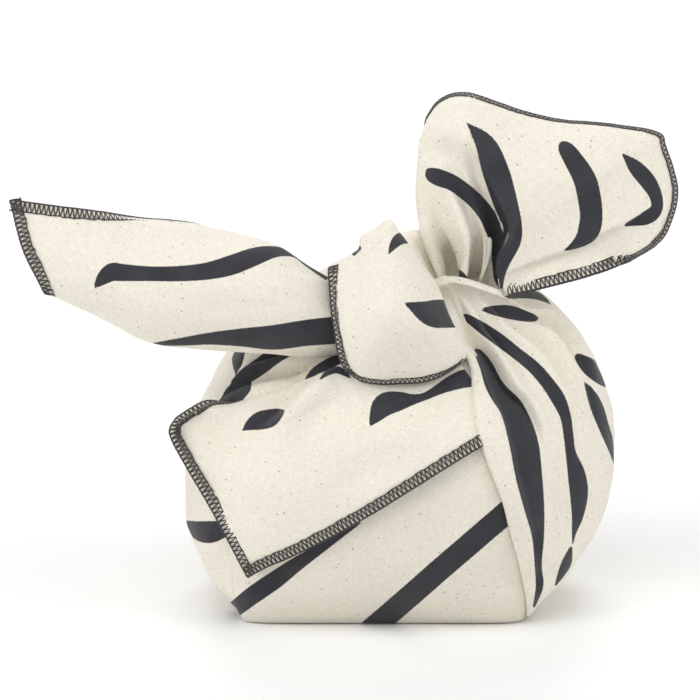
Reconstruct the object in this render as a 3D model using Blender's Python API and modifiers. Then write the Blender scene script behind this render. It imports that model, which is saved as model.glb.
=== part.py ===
"""Furoshiki wrap: one square cotton cloth wrapped round a bundle and tied on top.

The front corner is tucked under, the back corner is draped over the top and down the front, and
the left and right corners are tied in a knot whose two ends stand out as ears.

The tables are in millimetres. Points that are seen from the front are given by
  across  to the right of the middle of the base,
  up      measured in the front plane, which leans back by LEAN and holds the base's front edge,
  y       how far back the point lies, negative towards the front.
"""
import math

import bmesh
import bpy
from mathutils import Vector

MM = 0.001

LEAN = math.radians(15)
BASE_FRONT = 45.0       # the base's front edge, in front of the origin
FREE_CLOTH = 1.6        # a free layer of cloth
SINK = 12.5             # how far a layer that lies on the bundle reaches into it
CORE_DROP = 3.0         # the bundle lies this much lower under a cover, so that deep pleats show
CORE_MARGIN = 2.0       # it starts to drop this far inside the cover's edge
CORE_RUN = 4.0          # and drops over this distance
COVER_RISE = 3.2        # how far the side covers stand proud of the front of the bundle
COVER_THIN_FOOT = 0.35  # the share of that rise which is left at the base
COVER_FULL_AT = 20.0    # the height from which they stand fully proud
REST_GAP = 1.8          # a draped layer's face stands this far off the bundle
STEP_RUN = 12.0         # it climbs onto a side cover over this distance
STEEPEST = 0.45         # the least share of a side's slope that is reckoned with there
HOLD_RUN = 4.0          # it turns from a free layer to one that lies on the bundle over this depth
SIDE_FADE = 12.0        # pleats fade out this near to the line between front and back
FOOT_FADE = 14.0        # and this near to the base
PLEAT_FADE = 0.6        # how quickly a pleat fades along its line: less is later

CLOTH_COLOUR = (0.84, 0.80, 0.70, 1.0)
CLOTH_ROUGHNESS = 0.9

# The filled bundle, level by level: its outline at each height, and how square that outline is.
BUNDLE = [
    # height  left   right  front  back  square
    (0.0,    -59.0,  61.0, -45.0, 45.0, 5.0),
    (3.0,    -61.0,  64.0, -48.0, 48.0, 4.5),
    (10.0,   -65.0,  71.0, -54.0, 54.0, 3.6),
    (20.0,   -73.0,  82.5, -61.0, 61.0, 3.0),
    (32.0,   -79.0,  91.5, -66.5, 67.0, 2.7),
    (46.0,   -81.0,  96.5, -70.0, 71.0, 2.5),
    (62.0,   -80.0,  99.5, -72.0, 73.0, 2.4),
    (78.0,   -76.5,  99.8, -71.0, 73.0, 2.3),
    (92.0,   -70.0,  96.5, -68.0, 69.0, 2.2),
    (105.0,  -62.0,  91.5, -61.0, 62.0, 2.2),
    (117.0,  -52.0,  84.5, -50.0, 52.0, 2.1),
    (128.0,  -34.0,  74.5, -36.0, 39.0, 2.1),
    (136.0,  -15.0,  64.0, -22.0, 26.0, 2.0),
    (141.0,    5.0,  50.0,  -9.0, 13.0, 2.0),
]
SMALL_TURN = 0.02       # the steps by which the skin's slope is measured
SMALL_LIFT = 0.5
HALVINGS = 24           # the steps in which the height of a point seen on the skin is narrowed down
FURTHEST_SHARE = 0.999  # how far out to the side the skin's turn is still worked out
BUNDLE_RINGS = 20
BUNDLE_SPOKES = 64
RING_CROWDING = 0.35    # the rings stand closer at the base and at the top

# The edge of each side cover on the front and on the back, as it rises from the base to the knot.
RIGHT_EDGE = [
    # height  front across  back across
    (2.5,     63.0,          60.0),
    (11.0,    63.5,          58.0),
    (21.0,    62.2,          55.0),
    (34.0,    59.6,          50.0),
    (49.0,    55.7,          45.0),
    (62.0,    52.6,          40.0),
    (87.0,    43.5,          34.0),
    (104.0,   40.4,          30.0),
    (119.0,   38.0,          28.0),
    (130.0,   36.0,          27.0),
    (139.5,   34.0,          27.0),
]
LEFT_EDGE = [
    # height  front across  back across
    (2.5,    -60.5,         -60.0),
    (11.0,   -62.0,         -58.0),
    (21.0,   -63.0,         -54.0),
    (34.0,   -62.0,         -48.0),
    (49.0,   -58.0,         -42.0),
    (62.0,   -53.0,         -36.0),
    (87.0,   -42.0,         -24.0),
    (104.0,  -34.0,         -12.0),
    (119.0,  -22.0,          -2.0),
    (130.0,   -6.0,           6.0),
    (139.5,   12.0,          14.0),
]
COVER_ROWS = 22
COVER_COLUMNS = 27
COVER_CROWDING = 1.5    # the columns stand closer on the front, where the pleats are sharpest

# The pleats that fan out from the knot over the side covers: height of the fold (a trough is
# negative), half its width, and its line from the knot outwards in the front plane.
FRONT_PLEATS = [
    # name                 rise  half width  line of (across, up)
    ("under the roll",     -4.5,  4.0, [(42, 137), (53, 133), (66, 130), (78, 123), (87, 112), (92, 98)]),
    ("top roll",            3.5,  7.0, [(36, 146), (52, 142), (68, 138), (82, 128), (92, 112), (97, 92)]),
    ("outer trough",       -4.0,  5.0, [(52, 136), (68, 127), (79, 115), (83, 101), (85, 84), (85, 64)]),
    ("middle pleat",        4.0,  6.0, [(40, 132), (53, 124), (66, 114), (74, 98), (76, 80), (76, 55)]),
    ("deep crease",        -5.5,  4.0, [(40, 124), (44, 119), (51, 110), (57, 102), (64, 93), (68, 80)]),
    ("edge roll",           2.5,  6.0, [(44, 112), (48, 98), (52, 82), (60, 62), (66, 42), (69, 22)]),
    ("left upper pleat",    3.0,  4.0, [(-24, 117), (-36, 115), (-50, 111), (-64, 104), (-74, 94)]),
    ("left upper crease",  -3.6,  3.2, [(-38, 109), (-47, 107), (-58, 103), (-70, 95)]),
    ("left corner",         1.5,  3.0, [(-61, 6), (-64, 18), (-65, 30), (-66, 44)]),
]
BACK_PLEATS = [
    # name                 rise  half width  line of (across, height)
    ("right first",         3.0,  6.0, [(32, 128), (44, 112), (56, 92), (62, 66)]),
    ("right crease",       -4.0,  4.0, [(36, 130), (52, 116), (66, 96), (74, 70)]),
    ("right second",        3.0,  6.0, [(40, 132), (60, 120), (76, 100), (86, 74)]),
    ("left first",          3.0,  6.0, [(0, 128), (-18, 112), (-34, 90), (-44, 64)]),
    ("left crease",        -4.0,  4.0, [(-2, 131), (-26, 117), (-48, 96), (-58, 70)]),
    ("left second",         3.0,  6.0, [(-4, 133), (-36, 122), (-60, 101), (-72, 74)]),
]

# The draped back corner: ribs side by side, each from the lower hem up towards the knot. y is where
# the cloth would hang without the bundle, which then holds it further forward.
FLAP_RIBS = [
    # each rib: points of (across, up, y)
    [(-56.5, 20.5, -58), (-71.0, 48.0, -55), (-83.0, 68.5, -47), (-89.0, 79.5, -42), (-90.0, 84.5, -40),
     (-87.5, 89.0, -37)],
    [(-48.5, 25.0, -57), (-61.5, 49.0, -56), (-72.5, 70.0, -50), (-79.0, 83.0, -43), (-81.5, 89.0, -38),
     (-81.5, 93.0, -35)],
    [(-38.0, 29.5, -58), (-50.5, 51.5, -58), (-61.5, 73.0, -54), (-69.5, 86.0, -44), (-73.0, 92.5, -38),
     (-74.0, 96.5, -34)],
    [(-21.0, 38.0, -60), (-32.5, 59.0, -61), (-44.0, 79.5, -58), (-53.5, 91.5, -48), (-60.0, 95.0, -42),
     (-63.5, 96.0, -38)],
    [(-2.5, 48.5, -62), (-14.5, 71.5, -61), (-26.0, 92.0, -52), (-36.0, 98.0, -44), (-44.5, 99.5, -40),
     (-51.0, 101.0, -38)],
    [(16.0, 60.0, -62), (4.5, 81.5, -60), (-8.0, 100.0, -52), (-18.0, 108.0, -42), (-26.0, 109.0, -34),
     (-32.0, 109.0, -32)],
    [(33.5, 71.0, -60), (22.5, 89.0, -56), (11.5, 104.0, -46), (3.0, 111.0, -36), (-4.0, 116.0, -28),
     (-12.0, 119.0, -22)],
    [(52.0, 82.0, -58), (46.0, 95.0, -52), (40.0, 106.5, -44), (34.0, 114.0, -34), (26.0, 119.0, -28),
     (16.0, 123.0, -20)],
]
FLAP_FOLDS = [
    # name            rise  half width  line of (across, up)
    ("ridge",          4.5,  4.5, [(-12, 116), (-20, 110), (-29, 104), (-37, 96), (-48, 84)]),
    ("behind ridge",  -1.5,  4.0, [(-26, 112), (-34, 106), (-42, 99), (-50, 92)]),
    ("raised hem",     2.5,  4.0, [(-62, 94), (-72, 95), (-82, 91), (-89, 82), (-84, 70), (-74, 54)]),
]
FLAP_ROWS = 22
FLAP_COLUMNS = 24

# The band across the knot: upright sections from its left hem to its right fold.
KNOT_BAND = [
    # across  bottom up  top up  front y  back y  lean back  square
    (-20.0,   122.0,     149.0,  -50.0,   -32.0,   3.0,      2.3),
    (-15.5,   112.0,     155.0,  -58.0,   -26.0,   8.0,      2.5),
    (-7.0,    107.0,     166.0,  -65.0,   -20.0,  13.0,      2.6),
    (4.0,     105.0,     173.5,  -69.0,   -16.0,  17.0,      2.6),
    (13.0,    105.0,     166.0,  -69.0,   -14.0,  14.0,      2.6),
    (22.0,    106.0,     152.5,  -66.0,   -14.0,   9.0,      2.5),
    (30.0,    109.0,     138.0,  -61.0,   -18.0,   5.0,      2.3),
    (37.5,    114.0,     122.0,  -54.0,   -26.0,   2.0,      2.0),
]
# The rest of the knot behind the band, where both ends are wound round each other.
KNOT_HEART = [
    # across  bottom up  top up  front y  back y  lean back  square
    (-30.0,   124.0,     151.0,  -30.0,     4.0,   0.0,      2.0),
    (-16.0,   116.0,     159.0,  -38.0,    20.0,   0.0,      2.2),
    (0.0,     114.0,     162.0,  -42.0,    30.0,   0.0,      2.3),
    (18.0,    114.0,     164.0,  -42.0,    32.0,   0.0,      2.3),
    (36.0,    116.0,     160.0,  -36.0,    26.0,   0.0,      2.2),
    (50.0,    122.0,     151.0,  -31.0,    14.0,   0.0,      2.1),
    (60.0,    129.0,     144.0,  -24.0,     6.0,   0.0,      2.0),
]
KNOT_RINGS = 14
KNOT_SPOKES = 22

# The left end: a corner of the cloth folded lengthwise, seen from its folded lower edge upwards.
LEFT_EAR = [
    # each rib: front top, middle, low; lower fold; back low, middle, top; as (across, up, y)
    [(-158.3, 183.0, -48), (-153.0, 163, -54), (-146.5, 149, -55), (-143.5, 143.0, -50.5),
     (-145.0, 149, -46), (-147.5, 161, -44), (-150.5, 172, -43)],
    [(-132.0, 179.5, -46), (-130.5, 160, -56), (-128.0, 144, -58), (-126.0, 135.5, -51.5),
     (-126.5, 144, -44), (-128.0, 158, -41), (-129.5, 170, -40)],
    [(-104.0, 175.5, -43), (-103.5, 153, -59), (-102.5, 134, -61), (-102.0, 123.0, -51.0),
     (-102.0, 134, -41), (-102.5, 152, -37), (-103.0, 167, -36)],
    [(-76.0, 172.0, -40), (-76.0, 150, -62), (-76.0, 130, -63), (-76.0, 119.0, -49.0),
     (-76.0, 130, -36), (-76.0, 148, -31), (-76.0, 164, -31)],
    [(-48.0, 164.5, -37), (-48.0, 147, -62), (-48.0, 128, -62), (-48.0, 117.0, -46.0),
     (-48.0, 127, -30), (-48.0, 143, -25), (-48.0, 158, -26)],
    [(-28.0, 153.5, -36), (-28.0, 140, -58), (-28.0, 125, -57), (-28.0, 115.5, -42.0),
     (-28.0, 124, -27), (-28.0, 137, -22), (-28.0, 149, -24)],
    [(-10.0, 145.0, -36), (-10.0, 136, -51), (-10.0, 125, -50), (-10.0, 118.0, -40.0),
     (-10.0, 124, -27), (-10.0, 133, -22), (-10.0, 141, -24)],
]
LEFT_EAR_ALONG = 20
LEFT_EAR_ROUND = 26

# The right end: a fan from the knot out to the hem. The ribs run from the lower hem round the
# corner of the cloth to the rolled left side and on behind it.
RIGHT_EAR = [
    # each rib: root, then two points on the way, then the hem, as (across, up, y)
    [(51.0, 140.0, -20), (72.0, 146.5, -25), (92.0, 152.0, -22), (109.0, 157.5, -16)],
    [(51.0, 143.0, -21), (76.0, 154.0, -17), (104.0, 162.0, -12), (127.0, 174.0, -4)],
    [(50.5, 146.0, -22), (76.0, 166.0, -18), (104.0, 180.0, -13), (130.0, 189.0, 2)],
    [(50.0, 149.0, -23), (72.0, 178.0, -21), (98.0, 198.0, -13), (121.0, 213.0, 8)],
    [(49.5, 151.0, -24), (66.0, 184.0, -23), (80.0, 205.0, -14), (92.0, 217.5, 8)],
    [(48.0, 152.0, -24), (59.0, 184.0, -24), (62.0, 206.0, -16), (66.0, 221.5, 7)],
    [(46.0, 152.0, -21), (52.5, 180.0, -24), (50.0, 204.0, -18), (51.0, 226.0, 5)],
    [(43.0, 151.0, -16), (49.5, 178.0, -12), (44.0, 205.0, -11), (41.0, 230.0, 4)],
    [(38.5, 150.0, -20), (40.5, 176.0, -25), (34.0, 206.0, -17), (32.5, 229.0, 5)],
    [(33.0, 150.0, -26), (27.0, 176.0, -28), (22.0, 202.0, -18), (25.0, 226.0, 8)],
    [(27.0, 152.0, -14), (17.0, 177.0, -6), (16.0, 198.0, -2), (21.0, 218.0, 12)],
    [(30.0, 153.0, 0), (26.0, 178.0, 12), (25.0, 200.0, 14), (29.0, 216.0, 17)],
    [(38.0, 154.0, 6), (42.0, 180.0, 16), (44.0, 200.0, 18), (46.0, 214.0, 19)],
]
RIGHT_EAR_ROUND = 40
RIGHT_EAR_ALONG = 16


# ---------------------------------------------------------------------------------- smooth curves
def spline(rows, t):
    """A smooth curve through rows of equal length, read at t from 0 to 1."""
    spans = len(rows) - 1
    place = min(max(t, 0.0), 1.0) * spans
    i = min(int(place), spans - 1)
    f = place - i
    p1, p2 = rows[i], rows[i + 1]
    p0 = rows[i - 1] if i > 0 else [2 * a - b for a, b in zip(p1, p2)]
    p3 = rows[i + 2] if i + 2 <= spans else [2 * b - a for a, b in zip(p1, p2)]
    return [
        0.5 * (2 * b + (c - a) * f + (2 * a - 5 * b + 4 * c - d) * f * f
               + (3 * b - a - 3 * c + d) * f ** 3)
        for a, b, c, d in zip(p0, p1, p2, p3)
    ]


def read_at(table, key):
    """A row of the table between its rows, by its first column, along smooth curves."""
    i = 0
    while i < len(table) - 2 and table[i + 1][0] < key:
        i += 1
    low, high = table[i], table[i + 1]
    span = high[0] - low[0]
    f = min(max((key - low[0]) / span, 0.0), 1.0)

    def slope(j, column):
        before, after = table[max(j - 1, 0)], table[min(j + 1, len(table) - 1)]
        return (after[column] - before[column]) / (after[0] - before[0])

    return [key] + [
        (2 * f ** 3 - 3 * f ** 2 + 1) * low[c] + (f ** 3 - 2 * f ** 2 + f) * span * slope(i, c)
        + (3 * f ** 2 - 2 * f ** 3) * high[c] + (f ** 3 - f ** 2) * span * slope(i + 1, c)
        for c in range(1, len(low))
    ]


def share_of(value, run):
    """How far a value has come along a run that starts at 0, from 0 to 1."""
    return min(max(value / run, 0.0), 1.0)


def front_point(across, up, y):
    """The place of a point that is seen from the front."""
    return Vector((across, y, (up - (y + BASE_FRONT) * math.sin(LEAN)) / math.cos(LEAN)))


def seen_up(point):
    """How far up the front plane a point is seen."""
    return point.z * math.cos(LEAN) + (point.y + BASE_FRONT) * math.sin(LEAN)


# ---------------------------------------------------------------------------------- pleats
def pleat_push(pleats, across, up):
    """How far the pleats move the cloth outwards at a point of the front or back plane. Each is
    a soft roll or trough about its line, full at the line's start and fading to its end."""
    push = 0.0
    for _, rise, half_width, line in pleats:
        nearest, along = math.inf, 0.0
        for i in range(len(line) - 1):
            (ax, ay), (bx, by) = line[i], line[i + 1]
            dx, dy = bx - ax, by - ay
            f = ((across - ax) * dx + (up - ay) * dy) / (dx * dx + dy * dy)
            f = min(max(f, 0.0), 1.0)
            gap = math.hypot(across - ax - f * dx, up - ay - f * dy)
            if gap < nearest:
                nearest, along = gap, (i + f) / (len(line) - 1)
        fade = math.cos(math.pi / 2 * min(along, 1.0)) ** PLEAT_FADE
        push += rise * fade * math.exp(-(nearest / half_width) ** 2)
    return push


# ---------------------------------------------------------------------------------- the bundle
def squircle(turn, square):
    """A point of a rounded square of half width 1."""
    c, s = math.cos(turn), math.sin(turn)
    return (math.copysign(abs(c) ** (2 / square), c), math.copysign(abs(s) ** (2 / square), s))


def bundle_point(turn, height):
    """A point of the bundle's skin: turn 0 is the right side, and it goes round by the back."""
    _, left, right, front, back, square = read_at(BUNDLE, height)
    c, s = squircle(turn, square)
    return Vector(((left + right) / 2 + c * (right - left) / 2,
                   (front + back) / 2 + s * (back - front) / 2, height))


def skin_normal(turn, height):
    """The direction straight out of the bundle's skin."""
    around = bundle_point(turn + SMALL_TURN, height) - bundle_point(turn - SMALL_TURN, height)
    lift = min(SMALL_LIFT, height, BUNDLE[-1][0] - height)
    if lift <= 0:
        return around.cross(Vector((0, 0, 1))).normalized()
    rise = bundle_point(turn, height + lift) - bundle_point(turn, height - lift)
    return around.cross(rise).normalized()


def cover_point(turn, height, out):
    """A point of a side cover, which stands out from the bundle's skin and carries the pleats."""
    point = bundle_point(turn, height)
    if point.y < 0:
        push = pleat_push(FRONT_PLEATS, point.x, seen_up(point))
    else:
        push = pleat_push(BACK_PLEATS, point.x, point.z)
    fade = share_of(abs(point.y), SIDE_FADE) * share_of(height, FOOT_FADE)
    return point + skin_normal(turn, height) * (out + push * fade)


def core_point(turn, height):
    """A point of the bundle itself, which lies lower where a side cover hides it."""
    point = bundle_point(turn, height)
    column = 1 if point.y < 0 else 2
    past_right = point.x - read_at(RIGHT_EDGE, height)[column]
    past_left = read_at(LEFT_EDGE, height)[column] - point.x
    hidden = share_of(max(past_right, past_left) - CORE_MARGIN, CORE_RUN) * share_of(height, FOOT_FADE)
    return point - skin_normal(turn, height) * CORE_DROP * hidden


def turn_at(across, height, on_back):
    """The turn at which the skin crosses a line across, on the front or on the back."""
    _, left, right, _, _, square = read_at(BUNDLE, height)
    share = (across - (left + right) / 2) / ((right - left) / 2)
    share = min(max(share, -FURTHEST_SHARE), FURTHEST_SHARE)
    turn = math.acos(math.copysign(abs(share) ** (square / 2), share))
    return turn if on_back else -turn


def front_of_bundle(across, up):
    """The y of the bundle's front where it is seen at (across, up), or None beside it."""
    low, high = BUNDLE[0][0], BUNDLE[-1][0]
    for _ in range(HALVINGS):
        middle = (low + high) / 2
        _, left, right, _, _, _ = read_at(BUNDLE, middle)
        if not left < across < right:
            turn = 0.0 if across >= right else math.pi
        else:
            turn = turn_at(across, middle, False)
        if seen_up(bundle_point(turn, middle)) < up:
            low = middle
        else:
            high = middle
    _, left, right, _, _, _ = read_at(BUNDLE, low)
    if not left < across < right:
        return None
    return bundle_point(turn_at(across, low, False), low).y


def bundle_mesh(name):
    """The filled bundle as a closed mesh: rings from the flat base to the gathered top."""
    top = BUNDLE[-1][0]
    mesh = bmesh.new()
    rings = []
    for i in range(BUNDLE_RINGS):
        share = i / (BUNDLE_RINGS - 1)
        height = top * (share + RING_CROWDING * share * (1 - share) * (2 * share - 1))
        turns = [2 * math.pi * j / BUNDLE_SPOKES for j in range(BUNDLE_SPOKES)]
        rings.append([mesh.verts.new(core_point(t, height) * MM) for t in turns])
    return close_rings(mesh, rings, name)


# ---------------------------------------------------------------------------------- mesh helpers
def close_rings(mesh, rings, name):
    """Joins rings of points into a closed skin with capped ends."""
    count = len(rings[0])
    for low, high in zip(rings, rings[1:]):
        for j in range(count):
            k = (j + 1) % count
            mesh.faces.new((low[j], low[k], high[k], high[j]))
    mesh.faces.new(rings[0][::-1])
    mesh.faces.new(rings[-1])
    bmesh.ops.recalc_face_normals(mesh, faces=mesh.faces)
    return new_object(name, mesh)


def free_sheet(name, grid):
    """A free layer of cloth through a grid of points, in millimetres."""
    mesh = bmesh.new()
    rows = [[mesh.verts.new(point * MM) for point in row] for row in grid]
    for low, high in zip(rows, rows[1:]):
        for j in range(len(low) - 1):
            mesh.faces.new((low[j], low[j + 1], high[j + 1], high[j]))
    sheet = new_object(name, mesh)
    thickness = sheet.modifiers.new("thickness", "SOLIDIFY")
    thickness.thickness = FREE_CLOTH * MM
    thickness.offset = 0.0
    return sheet


def slab(name, face, back):
    """A closed layer between two grids of points, its face and its back, in millimetres."""
    mesh = bmesh.new()
    rows, columns = len(face), len(face[0])
    shell = [[[mesh.verts.new(point * MM) for point in row] for row in grid] for grid in (face, back)]
    for side in (0, 1):
        for i in range(rows - 1):
            for j in range(columns - 1):
                a, b = shell[side][i], shell[side][i + 1]
                mesh.faces.new((a[j], a[j + 1], b[j + 1], b[j]))
    rim = [(0, j) for j in range(columns)] + [(i, columns - 1) for i in range(1, rows)]
    rim += [(rows - 1, j) for j in range(columns - 2, -1, -1)] + [(i, 0) for i in range(rows - 2, 0, -1)]
    for (i, j), (k, m) in zip(rim, rim[1:] + rim[:1]):
        mesh.faces.new((shell[0][i][j], shell[1][i][j], shell[1][k][m], shell[0][k][m]))
    bmesh.ops.recalc_face_normals(mesh, faces=mesh.faces)
    return new_object(name, mesh)


def new_object(name, mesh):
    data = bpy.data.meshes.new(name)
    mesh.to_mesh(data)
    mesh.free()
    return bpy.data.objects.new(name, data)


# ---------------------------------------------------------------------------------- the layers
def cover_layer(name, edges, on_right):
    """A side cover: from its edge on the front, round the side, to its edge on the back."""
    face, back = [], []
    low, high = edges[0][0], edges[-1][0]
    for i in range(COVER_ROWS):
        height = low + (high - low) * i / (COVER_ROWS - 1)
        _, front_across, back_across = read_at(edges, height)
        start = turn_at(front_across, height, False)
        end = turn_at(back_across, height, True)
        if not on_right:
            start += 2 * math.pi
        foot = COVER_THIN_FOOT + (1 - COVER_THIN_FOOT) * share_of(height, COVER_FULL_AT)
        rise = COVER_RISE * foot
        shares = [(j / (COVER_COLUMNS - 1)) ** COVER_CROWDING for j in range(COVER_COLUMNS)]
        turns = [start + (end - start) * share for share in shares]
        face.append([cover_point(t, height, rise) for t in turns])
        back.append([cover_point(t, height, rise - SINK) for t in turns])
    return slab(name, face, back)


def rested(across, up, y):
    """A point of the draped corner, held forward where the bundle or its left cover is behind it,
    and how far back the layer reaches there."""
    skin = front_of_bundle(across, up)
    if skin is None:
        return front_point(across, up, y), FREE_CLOTH
    height = front_point(across, up, skin).z
    _, left, right, _, _, _ = read_at(BUNDLE, height)
    on_cover = share_of(read_at(LEFT_EDGE, height)[1] + STEP_RUN - across, STEP_RUN)
    stand_off = REST_GAP + COVER_RISE * on_cover * on_cover * (3 - 2 * on_cover)
    sideways = share_of((left + right) / 2 - across, (right - left) / 2)
    clear = skin - stand_off / max(math.sqrt(1 - sideways ** 2), STEEPEST)
    held = share_of(y - clear, HOLD_RUN)
    return front_point(across, up, min(y, clear)), FREE_CLOTH + (SINK - FREE_CLOTH) * held


def flap_layer():
    """The draped back corner of the cloth, which hangs over the front."""
    forward = Vector((0, -math.cos(LEAN), math.sin(LEAN)))
    face, back = [], []
    for i in range(FLAP_COLUMNS):
        share = i / (FLAP_COLUMNS - 1)
        rib = [spline([r[k] for r in FLAP_RIBS], share) for k in range(len(FLAP_RIBS[0]))]
        face_row, back_row = [], []
        for j in range(FLAP_ROWS):
            across, up, y = spline(rib, j / (FLAP_ROWS - 1))
            point, thickness = rested(across, up, y)
            point = point + forward * pleat_push(FLAP_FOLDS, across, up)
            face_row.append(point)
            back_row.append(point - forward * thickness)
        face.append(face_row)
        back.append(back_row)
    return slab("draped corner", face, back)


def knot_lump(name, table):
    """A closed lump of wound cloth, from upright sections side by side."""
    mesh = bmesh.new()
    rings = []
    for i in range(KNOT_RINGS):
        key = table[0][0] + (table[-1][0] - table[0][0]) * i / (KNOT_RINGS - 1)
        across, bottom, top, front, back, lean, square = read_at(table, key)
        ring = []
        for j in range(KNOT_SPOKES):
            c, s = squircle(2 * math.pi * j / KNOT_SPOKES, square)
            y = (front + back) / 2 + s * (back - front) / 2 + lean * c
            up = (bottom + top) / 2 + c * (top - bottom) / 2
            ring.append(mesh.verts.new(front_point(across, up, y) * MM))
        rings.append(ring)
    return close_rings(mesh, rings, name)


def ear_sheet(name, ribs, ribs_read, along):
    """A free end of the cloth, through its ribs."""
    grid = []
    for i in range(ribs_read):
        rib = [spline([r[k] for r in ribs], i / (ribs_read - 1)) for k in range(len(ribs[0]))]
        grid.append([front_point(*spline(rib, j / (along - 1))) for j in range(along)])
    return free_sheet(name, grid)


# ---------------------------------------------------------------------------------- the wrap
def cotton():
    material = bpy.data.materials.new("printed_cotton")
    material.use_nodes = True
    shader = material.node_tree.nodes["Principled BSDF"]
    shader.inputs["Base Color"].default_value = CLOTH_COLOUR
    shader.inputs["Roughness"].default_value = CLOTH_ROUGHNESS
    shader.inputs["Metallic"].default_value = 0.0
    return material


def build():
    for old in list(bpy.data.objects):
        bpy.data.objects.remove(old, do_unlink=True)
    parts = bpy.data.collections.new("furoshiki_wrap")
    layers = bpy.data.collections.new("layers_joined_in")
    bpy.context.scene.collection.children.link(parts)
    bpy.context.scene.collection.children.link(layers)

    cloth = bundle_mesh("wrap_cloth")
    cloth.data.materials.append(cotton())
    parts.objects.link(cloth)

    joined = [
        cover_layer("right cover", RIGHT_EDGE, True),
        cover_layer("left cover", LEFT_EDGE, False),
        flap_layer(),
        knot_lump("knot band", KNOT_BAND),
        knot_lump("knot heart", KNOT_HEART),
        ear_sheet("left end", LEFT_EAR, LEFT_EAR_ALONG, LEFT_EAR_ROUND),
        ear_sheet("right end", RIGHT_EAR, RIGHT_EAR_ROUND, RIGHT_EAR_ALONG),
    ]
    for layer in joined:
        layers.objects.link(layer)
        layer.hide_render = True
        layer.display_type = "WIRE"
        union = cloth.modifiers.new("join " + layer.name, "BOOLEAN")
        union.operation = "UNION"
        union.solver = "EXACT"
        union.object = layer
        union.use_self = True


build()
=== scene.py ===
# %% [markdown]
# # A furoshiki wrap
#
# The real object is one square of unbleached cotton, about 700 mm a side. It is printed on one side with
# dark brush strokes and overlocked all round with dark thread. It is wrapped round a bundle: the front
# corner is tucked under, the back corner hangs down the front, and the left and right corners are tied on
# top.
#
# The solid model already has every main fold. This script gives each visible stretch of the cloth its own
# thin sheet with finer folds, then the print, the stitches, the finishes, the light and the camera.

# %% Load the solid model
import math

import bmesh
import bpy
import numpy as np
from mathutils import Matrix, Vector


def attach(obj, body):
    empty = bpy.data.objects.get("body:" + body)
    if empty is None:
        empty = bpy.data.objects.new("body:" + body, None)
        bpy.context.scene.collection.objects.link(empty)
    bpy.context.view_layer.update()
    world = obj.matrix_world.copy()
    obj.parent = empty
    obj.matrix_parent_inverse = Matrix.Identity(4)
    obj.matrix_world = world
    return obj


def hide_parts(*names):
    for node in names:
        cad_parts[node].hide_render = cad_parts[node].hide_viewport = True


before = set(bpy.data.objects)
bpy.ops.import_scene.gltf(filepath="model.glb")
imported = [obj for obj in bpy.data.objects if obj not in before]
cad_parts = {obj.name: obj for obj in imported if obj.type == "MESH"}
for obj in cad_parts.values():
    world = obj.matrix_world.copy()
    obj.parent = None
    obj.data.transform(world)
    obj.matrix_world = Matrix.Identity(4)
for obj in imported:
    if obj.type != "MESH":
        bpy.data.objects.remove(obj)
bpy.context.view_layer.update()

print("solid nodes:", sorted(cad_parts))

# %% [markdown]
# ## Where things are
#
# All sizes are in millimetres, and meshes are scaled to metres when they are made. The wrap is seen from
# a little above, so most tables give a point as it is seen from the front: across to the right of the
# middle of the base, up in a plane that leans back by 15 degrees and holds the base's front edge, and y,
# how far back it lies (negative towards the front). Two more helpers give directions and lengths on a
# grid of points, as most of the shapes are such grids.

# %% Points as they are seen from the front
MM = 0.001
LEAN = math.radians(15)
BASE_FRONT = 45.0
UP_SHIFT = BASE_FRONT * math.sin(LEAN)


def front_points(seen):
    """The places of points that are given as (across, up, y)."""
    across, up, y = np.moveaxis(np.asarray(seen, float), -1, 0)
    height = (up - UP_SHIFT - y * math.sin(LEAN)) / math.cos(LEAN)
    return np.stack([across, y, height], axis=-1)


def seen_up(points):
    """How far up the front plane points are seen."""
    return points[..., 2] * math.cos(LEAN) + points[..., 1] * math.sin(LEAN) + UP_SHIFT


def unit(vectors):
    """The same directions, 1 long."""
    return vectors / np.maximum(np.linalg.norm(vectors, axis=-1, keepdims=True), 1e-9)


def lengths_along(points, axis=1):
    """How far each point lies along its row (axis 1) or column (axis 0) of a grid."""
    steps = np.diff(points, axis=axis, prepend=np.take(points, [0], axis=axis))
    return np.cumsum(np.linalg.norm(steps, axis=-1), axis=axis)


print("a point 100 mm up at the base's front edge:", np.round(front_points((0, 100, -BASE_FRONT)), 1))

# %% [markdown]
# ## Smooth curves through short tables
#
# Cloth has no corners, so every table of a few rows is read along a smooth curve. A Catmull-Rom curve
# goes through its points and needs no handles, which keeps the tables short. The bundle's table is read
# by height instead, so it uses a cubic between its rows.

# %% Curves
def smooth(rows, count, axis=0):
    """A table read count times, evenly from its first row to its last, along a smooth curve."""
    rows = np.moveaxis(np.array(rows, float), axis, 0)
    padded = np.concatenate([2 * rows[:1] - rows[1:2], rows, 2 * rows[-1:] - rows[-2:-1]])
    place = np.linspace(0, len(rows) - 1, count)
    i = np.minimum(place.astype(int), len(rows) - 2)
    f = (place - i).reshape((-1,) + (1,) * (rows.ndim - 1))
    a, b, c, d = (padded[i + k] for k in range(4))
    curve = 0.5 * (2 * b + (c - a) * f + (2 * a - 5 * b + 4 * c - d) * f ** 2
                   + (3 * b - a - 3 * c + d) * f ** 3)
    return np.moveaxis(curve, 0, axis)


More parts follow.
